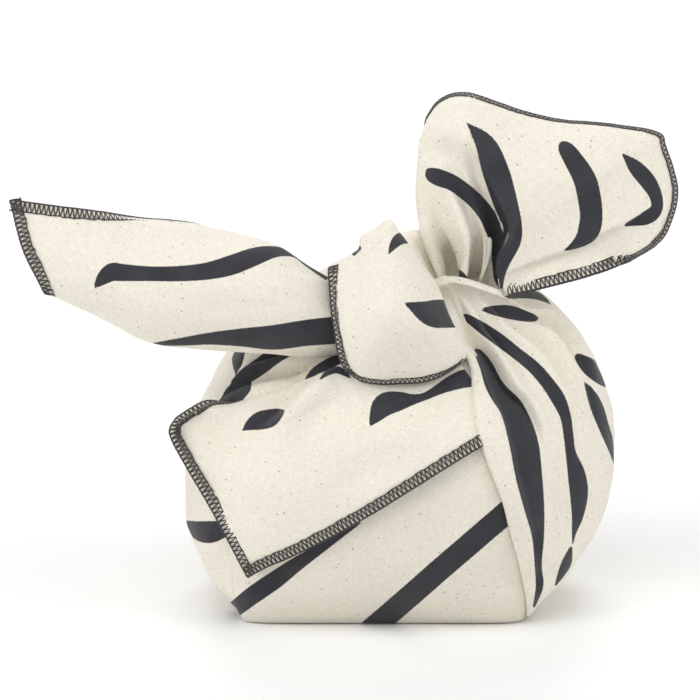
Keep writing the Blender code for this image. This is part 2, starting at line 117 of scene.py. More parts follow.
def read_at(table, key):
    """The other columns of a table, read between its rows by the first column."""
    table = np.array(table, float)
    x, y = table[:, 0], table[:, 1:]
    before, after = np.maximum(np.arange(len(x)) - 1, 0), np.minimum(np.arange(len(x)) + 1, len(x) - 1)
    slope = (y[after] - y[before]) / (x[after] - x[before])[:, None]
    key = np.asarray(key, float)
    i = np.clip(np.searchsorted(x, key) - 1, 0, len(x) - 2)
    span = (x[i + 1] - x[i])[..., None]
    f = np.clip((key - x[i])[..., None] / span, 0, 1)
    return ((2 * f ** 3 - 3 * f ** 2 + 1) * y[i] + (f ** 3 - 2 * f ** 2 + f) * span * slope[i]
            + (3 * f ** 2 - 2 * f ** 3) * y[i + 1] + (f ** 3 - f ** 2) * span * slope[i + 1])


def share_of(value, run):
    """How far a value has come along a run that starts at 0, from 0 to 1."""
    return np.clip(np.asarray(value, float) / run, 0, 1)


def eased(share):
    """The same share, but starting and ending gently."""
    return share * share * (3 - 2 * share)


print("a table of 3 rows read 5 times:", np.round(smooth([0, 10, 0], 5), 2))

# %% [markdown]
# ## Folds
#
# A fold is a line along which the cloth is lifted or pressed in. Real pleats aren't alike on both sides:
# one side swells softly and the other drops sharply into the next fold. So each fold has two widths, for
# the left and the right of its line, and its height is set at each point of the line. A ridge is round on
# top, but a crease comes to a sharp bottom.

# %% Lift of the folds
FOLD_STEPS = 6          # straight pieces for each span of a fold's line
RIDGE_POWER = 2.0
CREASE_POWER = 1.15     # nearer to 1 is sharper
WAVES = 9               # waves that are added up to a random swell
WAVE_SPREAD = (0.6, 1.5)        # how fine each is, as a share of what is asked for
SWELL_LEVEL = 1.5       # brings the sum to about -1 to 1


def fold_lift(folds, across, up):
    """How far the folds lift the cloth at points that are seen at (across, up)."""
    lift = np.zeros(np.shape(across))
    for _, left_width, right_width, rows in folds:
        line = smooth(rows, FOLD_STEPS * (len(rows) - 1) + 1)
        nearest, rise, side = np.full(lift.shape, np.inf), np.zeros(lift.shape), np.ones(lift.shape)
        for (ax, ay, ar), (bx, by, br) in zip(line, line[1:]):
            dx, dy = bx - ax, by - ay
            f = np.clip(((across - ax) * dx + (up - ay) * dy) / (dx * dx + dy * dy), 0, 1)
            gap = np.hypot(across - ax - f * dx, up - ay - f * dy)
            closer = gap < nearest
            nearest = np.where(closer, gap, nearest)
            rise = np.where(closer, ar + (br - ar) * f, rise)
            side = np.where(closer, dx * (up - ay) - dy * (across - ax), side)
        share = nearest / np.where(side > 0, left_width, right_width)
        lift += rise * np.exp(-share ** np.where(rise < 0, CREASE_POWER, RIDGE_POWER))
    return lift


def unevenness(points, size, seed):
    """A soft random swell over the cloth, about -1 to 1, with waves of about that size."""
    rng = np.random.default_rng(seed)
    turn = unit(rng.normal(size=(WAVES, 3)))
    turn *= 2 * math.pi / size * rng.uniform(*WAVE_SPREAD, (WAVES, 1))
    phase = rng.uniform(0, 2 * math.pi, WAVES)
    return np.sin(points @ turn.T + phase).sum(-1) / math.sqrt(WAVES) / SWELL_LEVEL


def with_swells(lift, points, large, small, seed):
    """The lift with a large and a small random swell, each given as (height, size of its waves)."""
    for k, (height, size) in enumerate((large, small)):
        lift = lift + height * unevenness(points, size, seed + k)
    return lift


ridge = ("one ridge", 2, 4, [(0, 0, 3), (10, 0, 3)])
example = fold_lift([ridge], np.full(5, 5), np.array([-8, -4, 0, 2, 4]))
print("lift of a ridge 3 mm high, from 8 mm on one side to 4 mm on the other:", np.round(example, 2))

# %% [markdown]
# ## The print
#
# The print is uneven brush strokes, broad in the middle and pointed at the ends. Each one is a short row
# of centre points with half widths. For every point of a sheet the script works out how far it lies
# outside the nearest stroke, in millimetres, and keeps that number on the mesh. The material turns it
# into ink, so the edge stays crisp whatever the mesh. A stroke is laid on from one side of the wrap, and
# its depth there is looked up on the cloth that faces that side, so it doesn't print through to the other
# side.

# %% Distance to the nearest stroke
STROKE_STEPS = 5        # straight pieces for each span of a stroke
NO_INK = 9.0            # far enough from every stroke
DEPTH_SHARE = 0.5       # how much depth counts in the distance to a stroke
DEPTH_SLACK = 10.0      # beyond this much, which the folds may take
FACES_IT = 0.1          # the depth is looked up on points that turn away from it less than this
TURNED_FROM = 0.5       # a stroke fades where the cloth turns this far away from it
TURNED_FADE = 9.0       # by this much for each unit beyond
SEARCH = 2.5            # a stroke takes its depth from points that are seen this near to it
LAYER_DEPTH = 6.0       # and that lie within this depth of the nearest of them
SIDES = {
    # side: the directions of across, up and depth, as the wrap is seen from there
    "front": [(1, 0, 0), (0, math.sin(LEAN), math.cos(LEAN)), (0, math.cos(LEAN), -math.sin(LEAN))],
    "back": [(-1, 0, 0), (0, 0, 1), (0, -1, 0)],
    "right": [(0, 1, 0), (0, 0, 1), (-1, 0, 0)],
    "left": [(0, -1, 0), (0, 0, 1), (1, 0, 0)],
}


def ink_distance(points, normals, strokes):
    """How far outside the nearest stroke each point lies, in millimetres; negative is inked."""
    flat, facing = points.reshape(-1, 3), normals.reshape(-1, 3)
    ink = np.full(len(flat), NO_INK)
    for _, side, rows in strokes:
        axes = np.array(SIDES[side], float)
        seen = flat @ axes.T + (0, UP_SHIFT if side == "front" else 0, 0)
        away = facing @ axes[2]
        shown = np.flatnonzero(away < FACES_IT)
        turned = TURNED_FADE * np.maximum(away - TURNED_FROM, 0)
        line = smooth(rows, STROKE_STEPS * (len(rows) - 1) + 1)
        middle = []
        for across, up, _ in line:
            gap = np.hypot(seen[shown, 0] - across, seen[shown, 1] - up)
            depths = seen[shown[gap < max(SEARCH, gap.min() + 1)], 2]
            middle.append((across, up, depths[depths < depths.min() + LAYER_DEPTH].mean()))
        middle = np.array(middle)
        for a, b, half_a, half_b in zip(middle, middle[1:], line[:, 2], line[1:, 2]):
            step, rest = b - a, seen - a
            f = np.clip(rest[:, :2] @ step[:2] / (step[:2] @ step[:2]), 0, 1)
            beside = rest - f[:, None] * step
            deeper = DEPTH_SHARE * np.maximum(np.abs(beside[:, 2]) - DEPTH_SLACK, 0)
            gap = np.sqrt((beside[:, :2] ** 2).sum(1) + deeper ** 2)
            ink = np.minimum(ink, gap - half_a - (half_b - half_a) * f + turned)
    return ink


print("a stroke can be laid on from:", ", ".join(SIDES))

# %% [markdown]
# ## From a grid of points to a sheet of cloth
#
# Each stretch of cloth is a grid of points. It becomes a mesh with the print's distances as an attribute
# and a UV map in millimetres along the threads, so the weave keeps its size and follows the folds.
# Solidify then gives it the thickness of the cotton, with a material of its own on the unprinted side.

# %% Making a sheet
COTTON_THICKNESS = 0.5


def grid_normals(grid, wraps=False):
    """The directions straight out of a grid's face."""
    if wraps:
        along = np.roll(grid, -1, axis=1) - np.roll(grid, 1, axis=1)
    else:
        along = np.gradient(grid, axis=1)
    return unit(np.cross(along, np.gradient(grid, axis=0)))


def thread_map(grid, grain, flat):
    """How far each point lies along the warp and the weft, which are turned by the grain in degrees."""
    if flat:
        u, v = grid[..., 0], seen_up(grid)
    else:
        u, v = lengths_along(grid), lengths_along(grid, 0)
        u = u - u[:, u.shape[1] // 2][:, None]
    c, s = math.cos(math.radians(grain)), math.sin(math.radians(grain))
    return np.stack([c * u - s * v, s * u + c * v], axis=-1)


def plain_mesh(obj):
    """Turns an object with modifiers into a plain mesh of the same shape."""
    made = bpy.data.meshes.new_from_object(obj.evaluated_get(bpy.context.evaluated_depsgraph_get()))
    obj.modifiers.clear()
    obj.data = made
    made.name = obj.name
    return obj


def link_object(name, data):
    """An object with that name and data, added to the scene."""
    obj = bpy.data.objects.new(name, data)
    bpy.context.scene.collection.objects.link(obj)
    return obj


def cloth_sheet(name, grid, strokes, grain=0, wraps=False, closed_start=False, flat=False):
    """A sheet of the printed cotton through a grid of points, in millimetres.

    It can wrap round and be closed below. Flat threads run straight as they are seen from the front.
    """
    rows, columns = grid.shape[:2]
    ink = ink_distance(grid, grid_normals(grid, wraps), strokes)
    threads = thread_map(np.concatenate([grid, grid[:, :1]], axis=1) if wraps else grid, grain, flat)
    mesh = bmesh.new()
    layer = mesh.loops.layers.uv.new("threads")
    points = [[mesh.verts.new((x * MM, y * MM, z * MM)) for x, y, z in row] for row in grid.tolist()]
    for i in range(rows - 1):
        for j in range(columns if wraps else columns - 1):
            corners = [(i, j), (i, j + 1), (i + 1, j + 1), (i + 1, j)]
            face = mesh.faces.new([points[a][b % columns] for a, b in corners])
            face.smooth = True
            for loop, (a, b) in zip(face.loops, corners):
                loop[layer].uv = threads[a, b]
    if closed_start:
        mesh.faces.new(points[0][::-1])
    data = bpy.data.meshes.new(name)
    mesh.to_mesh(data)
    mesh.free()
    data.attributes.new("ink", "FLOAT", "POINT").data.foreach_set("value", ink.astype(np.float32))
    data.materials.append(PRINTED)
    data.materials.append(REVERSE)
    sheet = link_object(name, data)
    wall = sheet.modifiers.new("cotton", "SOLIDIFY")
    wall.thickness = COTTON_THICKNESS * MM
    wall.offset = -1.0
    wall.material_offset = 1
    plain_mesh(sheet)
    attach(sheet, "root")
    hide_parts("wrap_cloth")
    area = sum(p.area for p in sheet.data.polygons) / 2
    print(f"{name}: {len(sheet.data.polygons)} faces, {area * 1e4:.0f} square cm of cloth")
    return sheet


print("the sheets are", COTTON_THICKNESS, "mm thick")

# %% [markdown]
# ## The finishes
#
# The finishes are made of nodes, with no picture. A tree of nodes is long when each node and each link is
# a line, so a small class adds a node, sets it and joins it in one call.

# %% A helper for nodes
class Nodes:
    """Short ways to add and join the nodes of one tree."""

    def __init__(self, tree):
        self.tree = tree

    def add(self, kind, inputs=None, **settings):
        node = self.tree.nodes.new(kind)
        for key, value in settings.items():
            setattr(node, key, value)
        return self.fill(node, inputs or {})

    def fill(self, node, inputs):
        for key, value in inputs.items():
            if isinstance(value, bpy.types.NodeSocket):
                self.tree.links.new(value, node.inputs[key])
            else:
                node.inputs[key].default_value = value
        return node

    def math(self, operation, *values):
        return self.add("ShaderNodeMath", dict(enumerate(values)), operation=operation).outputs[0]

    def noise(self, vector, scale, detail=2.0, roughness=0.5):
        return self.add("ShaderNodeTexNoise", {"Vector": vector, "Scale": scale, "Detail": detail,
                                               "Roughness": roughness}).outputs["Fac"]

    def stretched(self, vector, scale):
        return self.add("ShaderNodeMapping", {"Vector": vector, "Scale": scale}).outputs["Vector"]

    def ramp(self, value, low, high, to_low=0.0, to_high=1.0):
        return self.add("ShaderNodeMapRange", {"Value": value, "From Min": low, "From Max": high,
                                               "To Min": to_low, "To Max": to_high}).outputs["Result"]

    def mix(self, share, a, b):
        return self.add("ShaderNodeMix", {0: share, 6: a, 7: b}, data_type="RGBA").outputs[2]

    def bump(self, height, strength, distance):
        return self.add("ShaderNodeBump", {"Height": height, "Strength": strength,
                                           "Distance": distance}).outputs["Normal"]


def node_material(name):
    """A new material, its nodes and its shader."""
    material = bpy.data.materials.new(name)
    material.use_nodes = True
    return material, Nodes(material.node_tree), material.node_tree.nodes["Principled BSDF"]


print("node helpers:", ", ".join(name for name in vars(Nodes) if name[0] != "_"))

# %% [markdown]
# ## The weave
#
# The cotton is a plain unbleached weave: slightly uneven threads, with a few darker flecks of seed and
# faint grey areas. Its threads are too fine for a mesh, so one group of nodes makes them as height and
# tone, from the sheet's own millimetres. The printed side and the reverse share the group.

# %% The weave
WEAVE_PITCH = 0.42      # millimetres from thread to thread
ALONG, ACROSS = 0.30, 2.1       # a thread's thick and thin places are this fine along it and across it
CROSSING_HEIGHT = 0.20  # the share of the height that comes from the crossings of the threads
SLUB_HEIGHT = 0.55      # and from their thick and thin places
FUZZ_TONE = 0.35        # how much the fuzz darkens and lightens
FLECK_SCALE = 0.17      # a fleck can lie in each cell of about 1 / this much, in millimetres
FLECK_SIZES = (0.125, -0.058)   # its size in cells is random times the first, plus the second
FLECK_BLUR = 0.012      # its edge fades over this much to either side


def weave_group():
    """The woven cotton: from positions along the threads to a height, a tone and seed flecks."""
    tree = bpy.data.node_groups.new("woven cotton", "ShaderNodeTree")
    tree.interface.new_socket("Threads", in_out="INPUT", socket_type="NodeSocketVector")
    pitch = tree.interface.new_socket("Pitch", in_out="INPUT", socket_type="NodeSocketFloat")
    pitch.default_value = WEAVE_PITCH
    for name in ("Height", "Tone", "Stain", "Fleck"):
        tree.interface.new_socket(name, in_out="OUTPUT", socket_type="NodeSocketFloat")
    n = Nodes(tree)
    source = n.add("NodeGroupInput").outputs
    threads, pitch = source["Threads"], source["Pitch"]
    split = n.add("ShaderNodeSeparateXYZ", {"Vector": threads}).outputs
    warp, weft = (n.math("SINE", n.math("DIVIDE", n.math("MULTIPLY", split[k], math.pi), pitch))
                  for k in (0, 1))
    crossing = n.math("MULTIPLY", warp, weft)
    warp_slub = n.noise(n.stretched(threads, (ACROSS, ALONG, 1)), 1.0, 3.0, 0.65)
    weft_slub = n.noise(n.stretched(threads, (ALONG, ACROSS, 1)), 1.0, 3.0, 0.65)
    slub = n.math("ADD", warp_slub, weft_slub)
    fuzz = n.noise(threads, 1.9, 4.0, 0.65)
    height = n.math("MULTIPLY_ADD", crossing, CROSSING_HEIGHT,
                    n.math("MULTIPLY_ADD", slub, SLUB_HEIGHT, fuzz))
    tone = n.math("ADD", n.math("SUBTRACT", slub, 1.0),
                  n.math("MULTIPLY", n.math("SUBTRACT", fuzz, 0.5), FUZZ_TONE))
    stain = n.math("MULTIPLY", n.ramp(n.noise(threads, 0.035, 3.0, 0.55), 0.52, 0.70),
                   n.ramp(n.noise(threads, 0.9, 3.0, 0.6), 0.35, 0.75))
    seeds = n.add("ShaderNodeTexVoronoi", {"Vector": threads, "Scale": FLECK_SCALE},
                  voronoi_dimensions="2D").outputs
    chance = n.add("ShaderNodeSeparateColor", {"Color": seeds["Color"]}).outputs[0]
    size = n.math("MULTIPLY_ADD", chance, *FLECK_SIZES)
    fleck = n.ramp(n.math("SUBTRACT", seeds["Distance"], size), FLECK_BLUR, -FLECK_BLUR)
    n.add("NodeGroupOutput", {"Height": height, "Tone": tone, "Stain": stain, "Fleck": fleck})
    return tree


WEAVE = weave_group()
print("the weave takes and gives:", ", ".join(item.name for item in WEAVE.interface.items_tree))

# %% [markdown]
# ## The printed cotton
#
# The cotton is cream, and the ink is a soft black that leaves the weave visible and lets a few light
# fibres through. The ink's edge is where the distance on the mesh is nought, made a little uneven, as ink
# spreads along the threads. The reverse is the same cloth, through which the print hardly shows.

# %% The printed cotton and its reverse
COTTON_COLOUR = (0.82, 0.775, 0.672, 1.0)
REVERSE_COLOUR = (0.81, 0.755, 0.63, 1.0)
FLECK_COLOUR = (0.27, 0.165, 0.08, 1.0)
STAIN_COLOUR = (0.72, 0.70, 0.64, 1.0)
INK_COLOUR = (0.030, 0.030, 0.037, 1.0)
LINT_COLOUR = (0.30, 0.28, 0.26, 1.0)
THIN_INK_COLOUR = (0.16, 0.16, 0.18, 1.0)
STAIN_SHARE, FLECK_SHARE, TONE_SHARE = 0.45, 0.8, 0.42          # how strongly each of them shows
EDGE_WOBBLE = 0.5       # the ink's edge strays by up to half of this, in millimetres
EDGE_BLUR = 0.16        # and fades over this much to either side
LINT_SHARE = 0.30       # how strongly light fibres show through the ink
THIN_INK_SHARE = 0.10   # how much lighter the ink is where it is thin
REVERSE_INK = 0.07      # how strongly the print shows on the reverse
WEAVE_RELIEF, WEAVE_HEIGHT = 0.55, 0.22         # how strongly the weave shows, and its height
COTTON_FINISH = {"Roughness": 0.92, "Specular IOR Level": 0.25, "Metallic": 0.0, "Sheen Weight": 0.15,
                 "Sheen Roughness": 0.5}


def cotton_material(name, colour, ink_strength):
    """The cotton with its print as strong as that."""
    material, n, shader = node_material(name)
    threads = n.add("ShaderNodeUVMap", uv_map="threads").outputs["UV"]
    weave = n.add("ShaderNodeGroup", {"Threads": threads}, node_tree=WEAVE).outputs
    cloth = n.mix(n.math("MULTIPLY", weave["Stain"], STAIN_SHARE), colour, STAIN_COLOUR)
    cloth = n.mix(n.math("MULTIPLY", weave["Fleck"], FLECK_SHARE), cloth, FLECK_COLOUR)
    tone = n.math("ADD", 1.0, n.math("MULTIPLY", weave["Tone"], TONE_SHARE))
    scaled = n.add("ShaderNodeVectorMath", {0: cloth, "Scale": tone}, operation="SCALE")
    distance = n.add("ShaderNodeAttribute", attribute_name="ink").outputs["Fac"]
    wobble = n.math("MULTIPLY", n.math("SUBTRACT", n.noise(threads, 0.8, 4.0, 0.7), 0.5), EDGE_WOBBLE)
    inked = n.ramp(n.math("ADD", distance, wobble), EDGE_BLUR, -EDGE_BLUR)
    lint = n.ramp(n.noise(n.stretched(threads, (2.2, 1.3, 1)), 1.0, 5.0, 0.75), 0.57, 0.72)
    ink = n.mix(n.math("MULTIPLY", lint, LINT_SHARE), INK_COLOUR, LINT_COLOUR)
    thin = n.ramp(n.noise(threads, 0.06, 2.0), 0.3, 0.7, 0.0, THIN_INK_SHARE)
    ink = n.mix(thin, ink, THIN_INK_COLOUR)
    colour = n.mix(n.math("MULTIPLY", inked, ink_strength), scaled.outputs[0], ink)
    relief = n.bump(weave["Height"], WEAVE_RELIEF, WEAVE_HEIGHT * MM)
    n.fill(shader, {"Base Color": colour, "Normal": relief, **COTTON_FINISH})
    return material


PRINTED = cotton_material("printed cotton", COTTON_COLOUR, 1.0)
REVERSE = cotton_material("cotton reverse", REVERSE_COLOUR, REVERSE_INK)
print("cotton materials:", PRINTED.name, "and", REVERSE.name)

# %% [markdown]
# ## The bundle
#
# The cloth that lies straight on the bundle is one skin from the flat base up to the knot. Its outline at
# each height is a rounded square between a left, right, front and back. The columns are spaced evenly
# along that outline.

# %% The bundle's skin
BUNDLE = [
    # height  left   right  front  back  square
    (0.0,    -60.0,  64.5, -45.0, 45.0, 12.0),
    (3.0,    -61.5,  66.0, -48.0, 48.0, 10.0),
    (10.0,   -65.5,  71.0, -54.0, 54.0, 6.4),
    (20.0,   -73.0,  82.5, -61.0, 61.0, 3.4),
    (32.0,   -79.0,  91.5, -66.5, 67.0, 2.7),
    (46.0,   -81.0,  96.5, -70.0, 71.0, 2.5),
    (62.0,   -80.0,  99.5, -72.0, 73.0, 2.4),
    (78.0,   -76.5,  99.8, -71.0, 73.0, 2.3),
    (92.0,   -70.0,  96.5, -68.0, 69.0, 2.2),
    (105.0,  -62.0,  91.5, -61.0, 62.0, 2.2),
    (117.0,  -52.0,  84.5, -50.0, 52.0, 2.1),
    (128.0,  -34.0,  74.5, -36.0, 39.0, 2.1),
    (136.0,  -15.0,  64.0, -22.0, 26.0, 2.0),
    (141.0,    5.0,  50.0,  -9.0, 13.0, 2.0),
]
TOP = BUNDLE[-1][0]
SMALL_TURN = 0.01       # the steps by which the skin's slope is measured
SMALL_LIFT = 0.5
HALVINGS = 24           # the steps in which the height of a point seen on the skin is narrowed down
ARC_SAMPLES = 300
FOOT_FADE = 14.0        # folds fade out this near to the base
BACK_FRONT_FADE = 12.0  # and this near to the line between front and back


def rounded_square(turn, left, right, front, back, square):
    """Where a turn meets the outline: square 2 makes an ellipse, and more fills the corners."""
    c, s = np.cos(turn), np.sin(turn)
    reach = (np.abs(c) ** square + np.abs(s) ** square) ** (-1 / square)
    return ((left + right) / 2 + c * reach * (right - left) / 2,
            (front + back) / 2 + s * reach * (back - front) / 2)


def bundle_points(turn, height):
    """Points of the bundle's skin: turn 0 is the right side, and it goes round by the back."""
    x, y = rounded_square(turn, *np.moveaxis(read_at(BUNDLE, height), -1, 0))
    return np.stack([x, y, height + 0 * x], axis=-1)


def skin_normals(turn, height):
    """The directions straight out of the bundle's skin."""
    around = bundle_points(turn + SMALL_TURN, height) - bundle_points(turn - SMALL_TURN, height)
    lift = np.clip(np.minimum(height, TOP - height), 0.01, SMALL_LIFT)
    rise = bundle_points(turn, height + lift) - bundle_points(turn, height - lift)
    return unit(np.cross(around, rise))


def turn_at(across, height, on_back=False):
    """The turn at which the skin crosses a line across, on the front or on the back."""
    left, right, _, _, square = np.moveaxis(read_at(BUNDLE, height), -1, 0)
    x = np.clip((across - (left + right) / 2) / ((right - left) / 2), -0.999, 0.999)
    y = (1 - np.abs(x) ** square) ** (1 / square)
    return np.arctan2(y if on_back else -y, x)


def even_turns(height, start, end, distances):
    """The turns on each row's outline that lie at these shares of the way from start to end."""
    fine = start + (end - start) * np.linspace(0, 1, ARC_SAMPLES)
    arc = lengths_along(bundle_points(fine, height))
    rows = [np.interp(d * a[-1], a, f) for d, a, f in zip(distances, arc, fine)]
    return np.array(rows), arc[:, -1:]


all_round = bundle_points(np.linspace(0, 2 * math.pi, ARC_SAMPLES)[None], TOP / 2)
print("round the bundle, half way up:", np.round(lengths_along(all_round)[0, -1]), "mm")

# %% [markdown]
# ## The side covers
#
# The left and right corners of the cloth come up over the bundle's sides to the knot. Each cover's edge on
# the front is a folded edge, so the sheet starts under itself and turns round a small nose. The pleats that
# fan out from the knot are listed one by one.

# %% Tables of the covers
RIGHT_EDGE = [
    # height  front across  back across
    (2.5,     64.0,          60.0),
    (11.0,    63.8,          58.0),
    (21.0,    62.2,          55.0),
    (34.0,    59.6,          50.0),
    (49.0,    55.7,          45.0),
    (62.0,    52.6,          40.0),
    (87.0,    43.5,          34.0),
    (104.0,   40.2,          30.0),
    (115.0,   39.2,          28.5),
    (123.0,   34.5,          27.5),
    (131.0,   27.0,          27.0),
    (139.5,   21.0,          25.0),
]
LEFT_EDGE = [
    # height  front across  back across
    (2.5,    -60.5,         -60.0),
    (11.0,   -62.0,         -58.0),
    (21.0,   -63.0,         -54.0),
    (34.0,   -62.0,         -48.0),
    (49.0,   -58.0,         -42.0),
    (62.0,   -53.0,         -36.0),
    (87.0,   -42.0,         -24.0),
    (104.0,  -34.0,         -12.0),
    (119.0,  -22.0,          -2.0),
    (130.0,   -6.0,           6.0),
    (139.5,   12.0,          14.0),
]
RIGHT_FOLDS = [
    # name, widths left and right of the line, line of (across, up, rise) from the knot outwards
    ("edge roll", 2.4, 7, [(42.4, 114, 0.6), (44.8, 104, 2.2), (50, 90, 3), (54.2, 76, 3.2),
        (57.6, 62, 3), (61.6, 46, 2.4), (65, 26, 1.2)]),
    ("deep crease", 0.9, 6.5, [(36.5, 127, -2.6), (40, 123, -4.8), (45.6, 118, -5.8),
        (49.9, 111.8, -6.4), (53.7, 105, -6.6), (57, 100, -6.2), (61.6, 96, -5.2), (65.5, 89.5, -3.8),
        (68.4, 81.4, -1.8), (70, 70, 0)]),
    ("its lip", 4, 0.8, [(38, 128.5, 1.8), (41.4, 124.2, 2.8), (46.8, 119.2, 3.2), (51.1, 112.8, 3.4),
        (54.9, 105.9, 3.4), (58.2, 101, 3), (62.7, 96.8, 2.4), (66.7, 90, 1.6), (69.8, 81.6, 0.6),
        (71, 72, 0)]),
    ("beside the lip", 1, 2.2, [(40, 131, -1.6), (47.4, 124, -2.4), (54, 116.4, -2.6),
        (59.5, 108.5, -2.2), (64.5, 101, -1.2), (69, 93, 0)]),
    ("middle pleat", 4, 2.4, [(42, 132.5, 2.4), (50.6, 126.5, 3.2), (59.6, 119.6, 3.4),
        (67.5, 112.4, 3.2), (73.6, 104.6, 2.6), (78.4, 96, 1.8), (81, 85, 1), (82, 70, 0)]),
    ("valley by it", 3, 1.2, [(46, 133.4, -2.4), (56, 129, -4.6), (65, 122.4, -5.6), (72.6, 114.6, -5.4),
        (78.4, 105, -4.2), (82.2, 94, -2.8), (84.6, 80, -1.4), (85, 66, 0)]),
    ("outer pleat", 2.2, 3.2, [(48, 137, 1.6), (58, 132.4, 2.8), (68.4, 126.8, 3.6), (77.3, 119, 3.8),
        (83, 108, 3.2), (86.6, 96, 2.4), (88.6, 82, 1.2), (89, 66, 0)]),
    ("under the roll", 1, 4, [(44, 136.4, -2.2), (53.7, 132.6, -3.4), (65.5, 130.2, -4.4),
        (73.5, 129.2, -5.4), (78.5, 125.2, -6.2), (83.5, 118, -6.2), (87.2, 111.2, -5),
        (90.2, 103, -3.2), (92.4, 92, -1.4), (93, 80, 0)]),
    ("top roll", 5, 1.6, [(30, 141.4, 1.6), (40, 140.4, 2), (52, 137, 2.8), (65, 133.6, 3.4),
        (74.4, 131.4, 3.6), (81, 126, 3.2), (86.6, 118, 2.4), (91.4, 108, 1.2), (94, 96, 0)]),
    ("second tuck", 1, 1.4, [(29, 143.4, -2), (35, 140.6, -2.6), (42.6, 137.8, -2.6), (52, 134.6, -1.4),
        (60, 132, 0)]),
    ("tuck", 0.8, 1.8, [(31, 138.6, -2), (36.5, 135, -2.8), (42.6, 131.2, -2.2), (50, 126, -1.2),
        (57, 120.8, 0)]),
    ("tuck", 0.7, 1.5, [(32.5, 133, -2), (36.4, 129.6, -2.8), (40, 126, -2.2), (44.4, 121.6, 0)]),
    ("before the stroke", 3, 3, [(86.6, 106, 0), (89.6, 97, -1.6), (92.6, 86, -1.8), (94.4, 74, 0)]),
    ("slack", 9, 7, [(78, 76, 0), (80, 60, -1.4), (80, 44, -1.8), (77, 28, 0)]),
    ("slack", 6, 8, [(92, 82, 0), (95, 66, 1.2), (93, 50, 1.2), (88, 36, 0)]),
    ("long slack", 2.4, 7, [(72, 88, 0), (74.6, 72, -1.6), (75.6, 54, -1.8), (75, 38, -1.2),
        (73, 22, 0)]),
]
LEFT_FOLDS = [
    ("upper pleat", 1.6, 3, [(-22, 117.6, 2.2), (-34, 113.8, 3.2), (-48, 109.8, 3.6), (-58, 106.2, 2.8),
        (-67, 99.4, 0)]),
    ("crease", 3.2, 0.9, [(-17.9, 114.6, -3.6), (-30.9, 111.2, -5.2), (-44, 107.8, -6),
        (-55.7, 104.8, -5.4), (-64, 99.8, -2.8), (-72, 92, 0)]),
    ("small crease", 2.4, 0.8, [(-34, 118, -3.2), (-42, 115.8, -4.4), (-50, 113.4, -4.2), (-57, 110, -2),
        (-61, 106.6, 0)]),
    ("top pleat", 2.4, 3, [(-36, 121, 1.2), (-46, 118.4, 2.2), (-54, 114.6, 2), (-60, 110, 0)]),
    ("lower pleat", 5, 2.2, [(-30, 106, 1.4), (-43, 103, 2.6), (-55, 100, 2.6), (-64, 94.6, 1.6),
        (-73, 86, 0)]),
    ("side tuck", 1.2, 3, [(-76, 70, 0), (-79, 61, -2), (-79.4, 53, -1.6), (-77, 46, 0)]),
    ("corner", 3, 2.4, [(-61, 5, 0.6), (-63.5, 16, 1.2), (-63.8, 26, 0.8), (-62, 36, 0)]),
]
BACK_FOLDS = [
    # the same as seen on the back, as (across, height, rise)
    ("right first", 6, 4, [(32, 128, 2.6), (44, 112, 3), (56, 92, 2.4), (62, 66, 0)]),
    ("right crease", 2.4, 4.5, [(36, 130, -3), (52, 116, -4), (66, 96, -3), (74, 70, 0)]),
    ("right second", 6, 6, [(40, 132, 2.6), (60, 120, 3), (76, 100, 2.2), (86, 74, 0)]),
    ("right third", 1.6, 3.4, [(44, 126, -1.4), (57, 108, -2), (66, 84, -1.4), (70, 60, 0)]),
    ("left first", 4, 6, [(0, 128, 2.6), (-18, 112, 3), (-34, 90, 2.4), (-44, 64, 0)]),
    ("left crease", 4.5, 2.4, [(-2, 131, -3), (-26, 117, -4), (-48, 96, -3), (-58, 70, 0)]),
    ("left second", 6, 6, [(-4, 133, 2.6), (-36, 122, 3), (-60, 101, 2.2), (-72, 74, 0)]),
    ("left third", 3.4, 1.6, [(-10, 124, -1.4), (-30, 104, -2), (-44, 80, -1.4), (-52, 56, 0)]),
]
print("folds on the right, the left and the back:", len(RIGHT_FOLDS), len(LEFT_FOLDS), len(BACK_FOLDS))

# %% [markdown]
# ## The shape of a cover
#
# A cover stands a few millimetres proud of the bundle, as several layers lie on each other there. Its
# grid goes from under the folded edge round a half circle, over the side and back under the other edge,
# so one sheet makes the edge and both layers. The right cover's top is raised into the roll of cloth that
# leads into the knot.

# %% Shape of a cover
COVER_RISE = 3.4        # how far a cover stands proud of the bundle
THIN_FOOT = 0.35        # the share of that rise which is left at the base
FULL_AT = 20.0          # the height from which it stands fully proud
UNDER_GAP = 0.25        # the layer under the folded edge lies this far off the bundle
UNDER_LAYER = (9.0, 7.0, 5.2, 3.6)      # how far in from the edge that layer is read
NOSE_POINTS = 9
SUNK_EDGE = 0.8         # the left cover's front edge lies this deep, as the front cloth runs on there
SOFT_RUN = 16.0         # and it comes up over this distance
LAYER_GAP = 1.0         # the layer under the folded edge gives way to creases nearer to it than this
CREASE_INSET = 6.0      # creases start this far inside the folded edge
ROLL_FROM = 124.0       # the right cover starts to rise into its top roll at this height
ROLL_BACK, ROLL_FADE = 6.0, 14.0        # it ends this far behind the middle, and fades over the second
ROLL = [
    # across, the roll's top as seen from the front, y
    (19, 142.8, -34.5),
    (24, 145.6, -36.0),
    (29, 147.4, -37.0),
    (35, 147.3, -37.5),
    (45, 144.4, -35.5),
    (55, 140.4, -31.5),
    (65, 134.4, -24.0),
]
# from the roll's top over its far side, as (back, up)
ROLL_OVER = [(0.5, 0.9), (1.6, 1.7), (3.2, 2.1), (5.2, 1.9), (7.4, 0.8), (9.2, -1.2), (10.4, -4),
             (11, -7.5)]
FRONT_CROWDING = 1.5    # columns stand closer on the front, where the pleats are sharpest


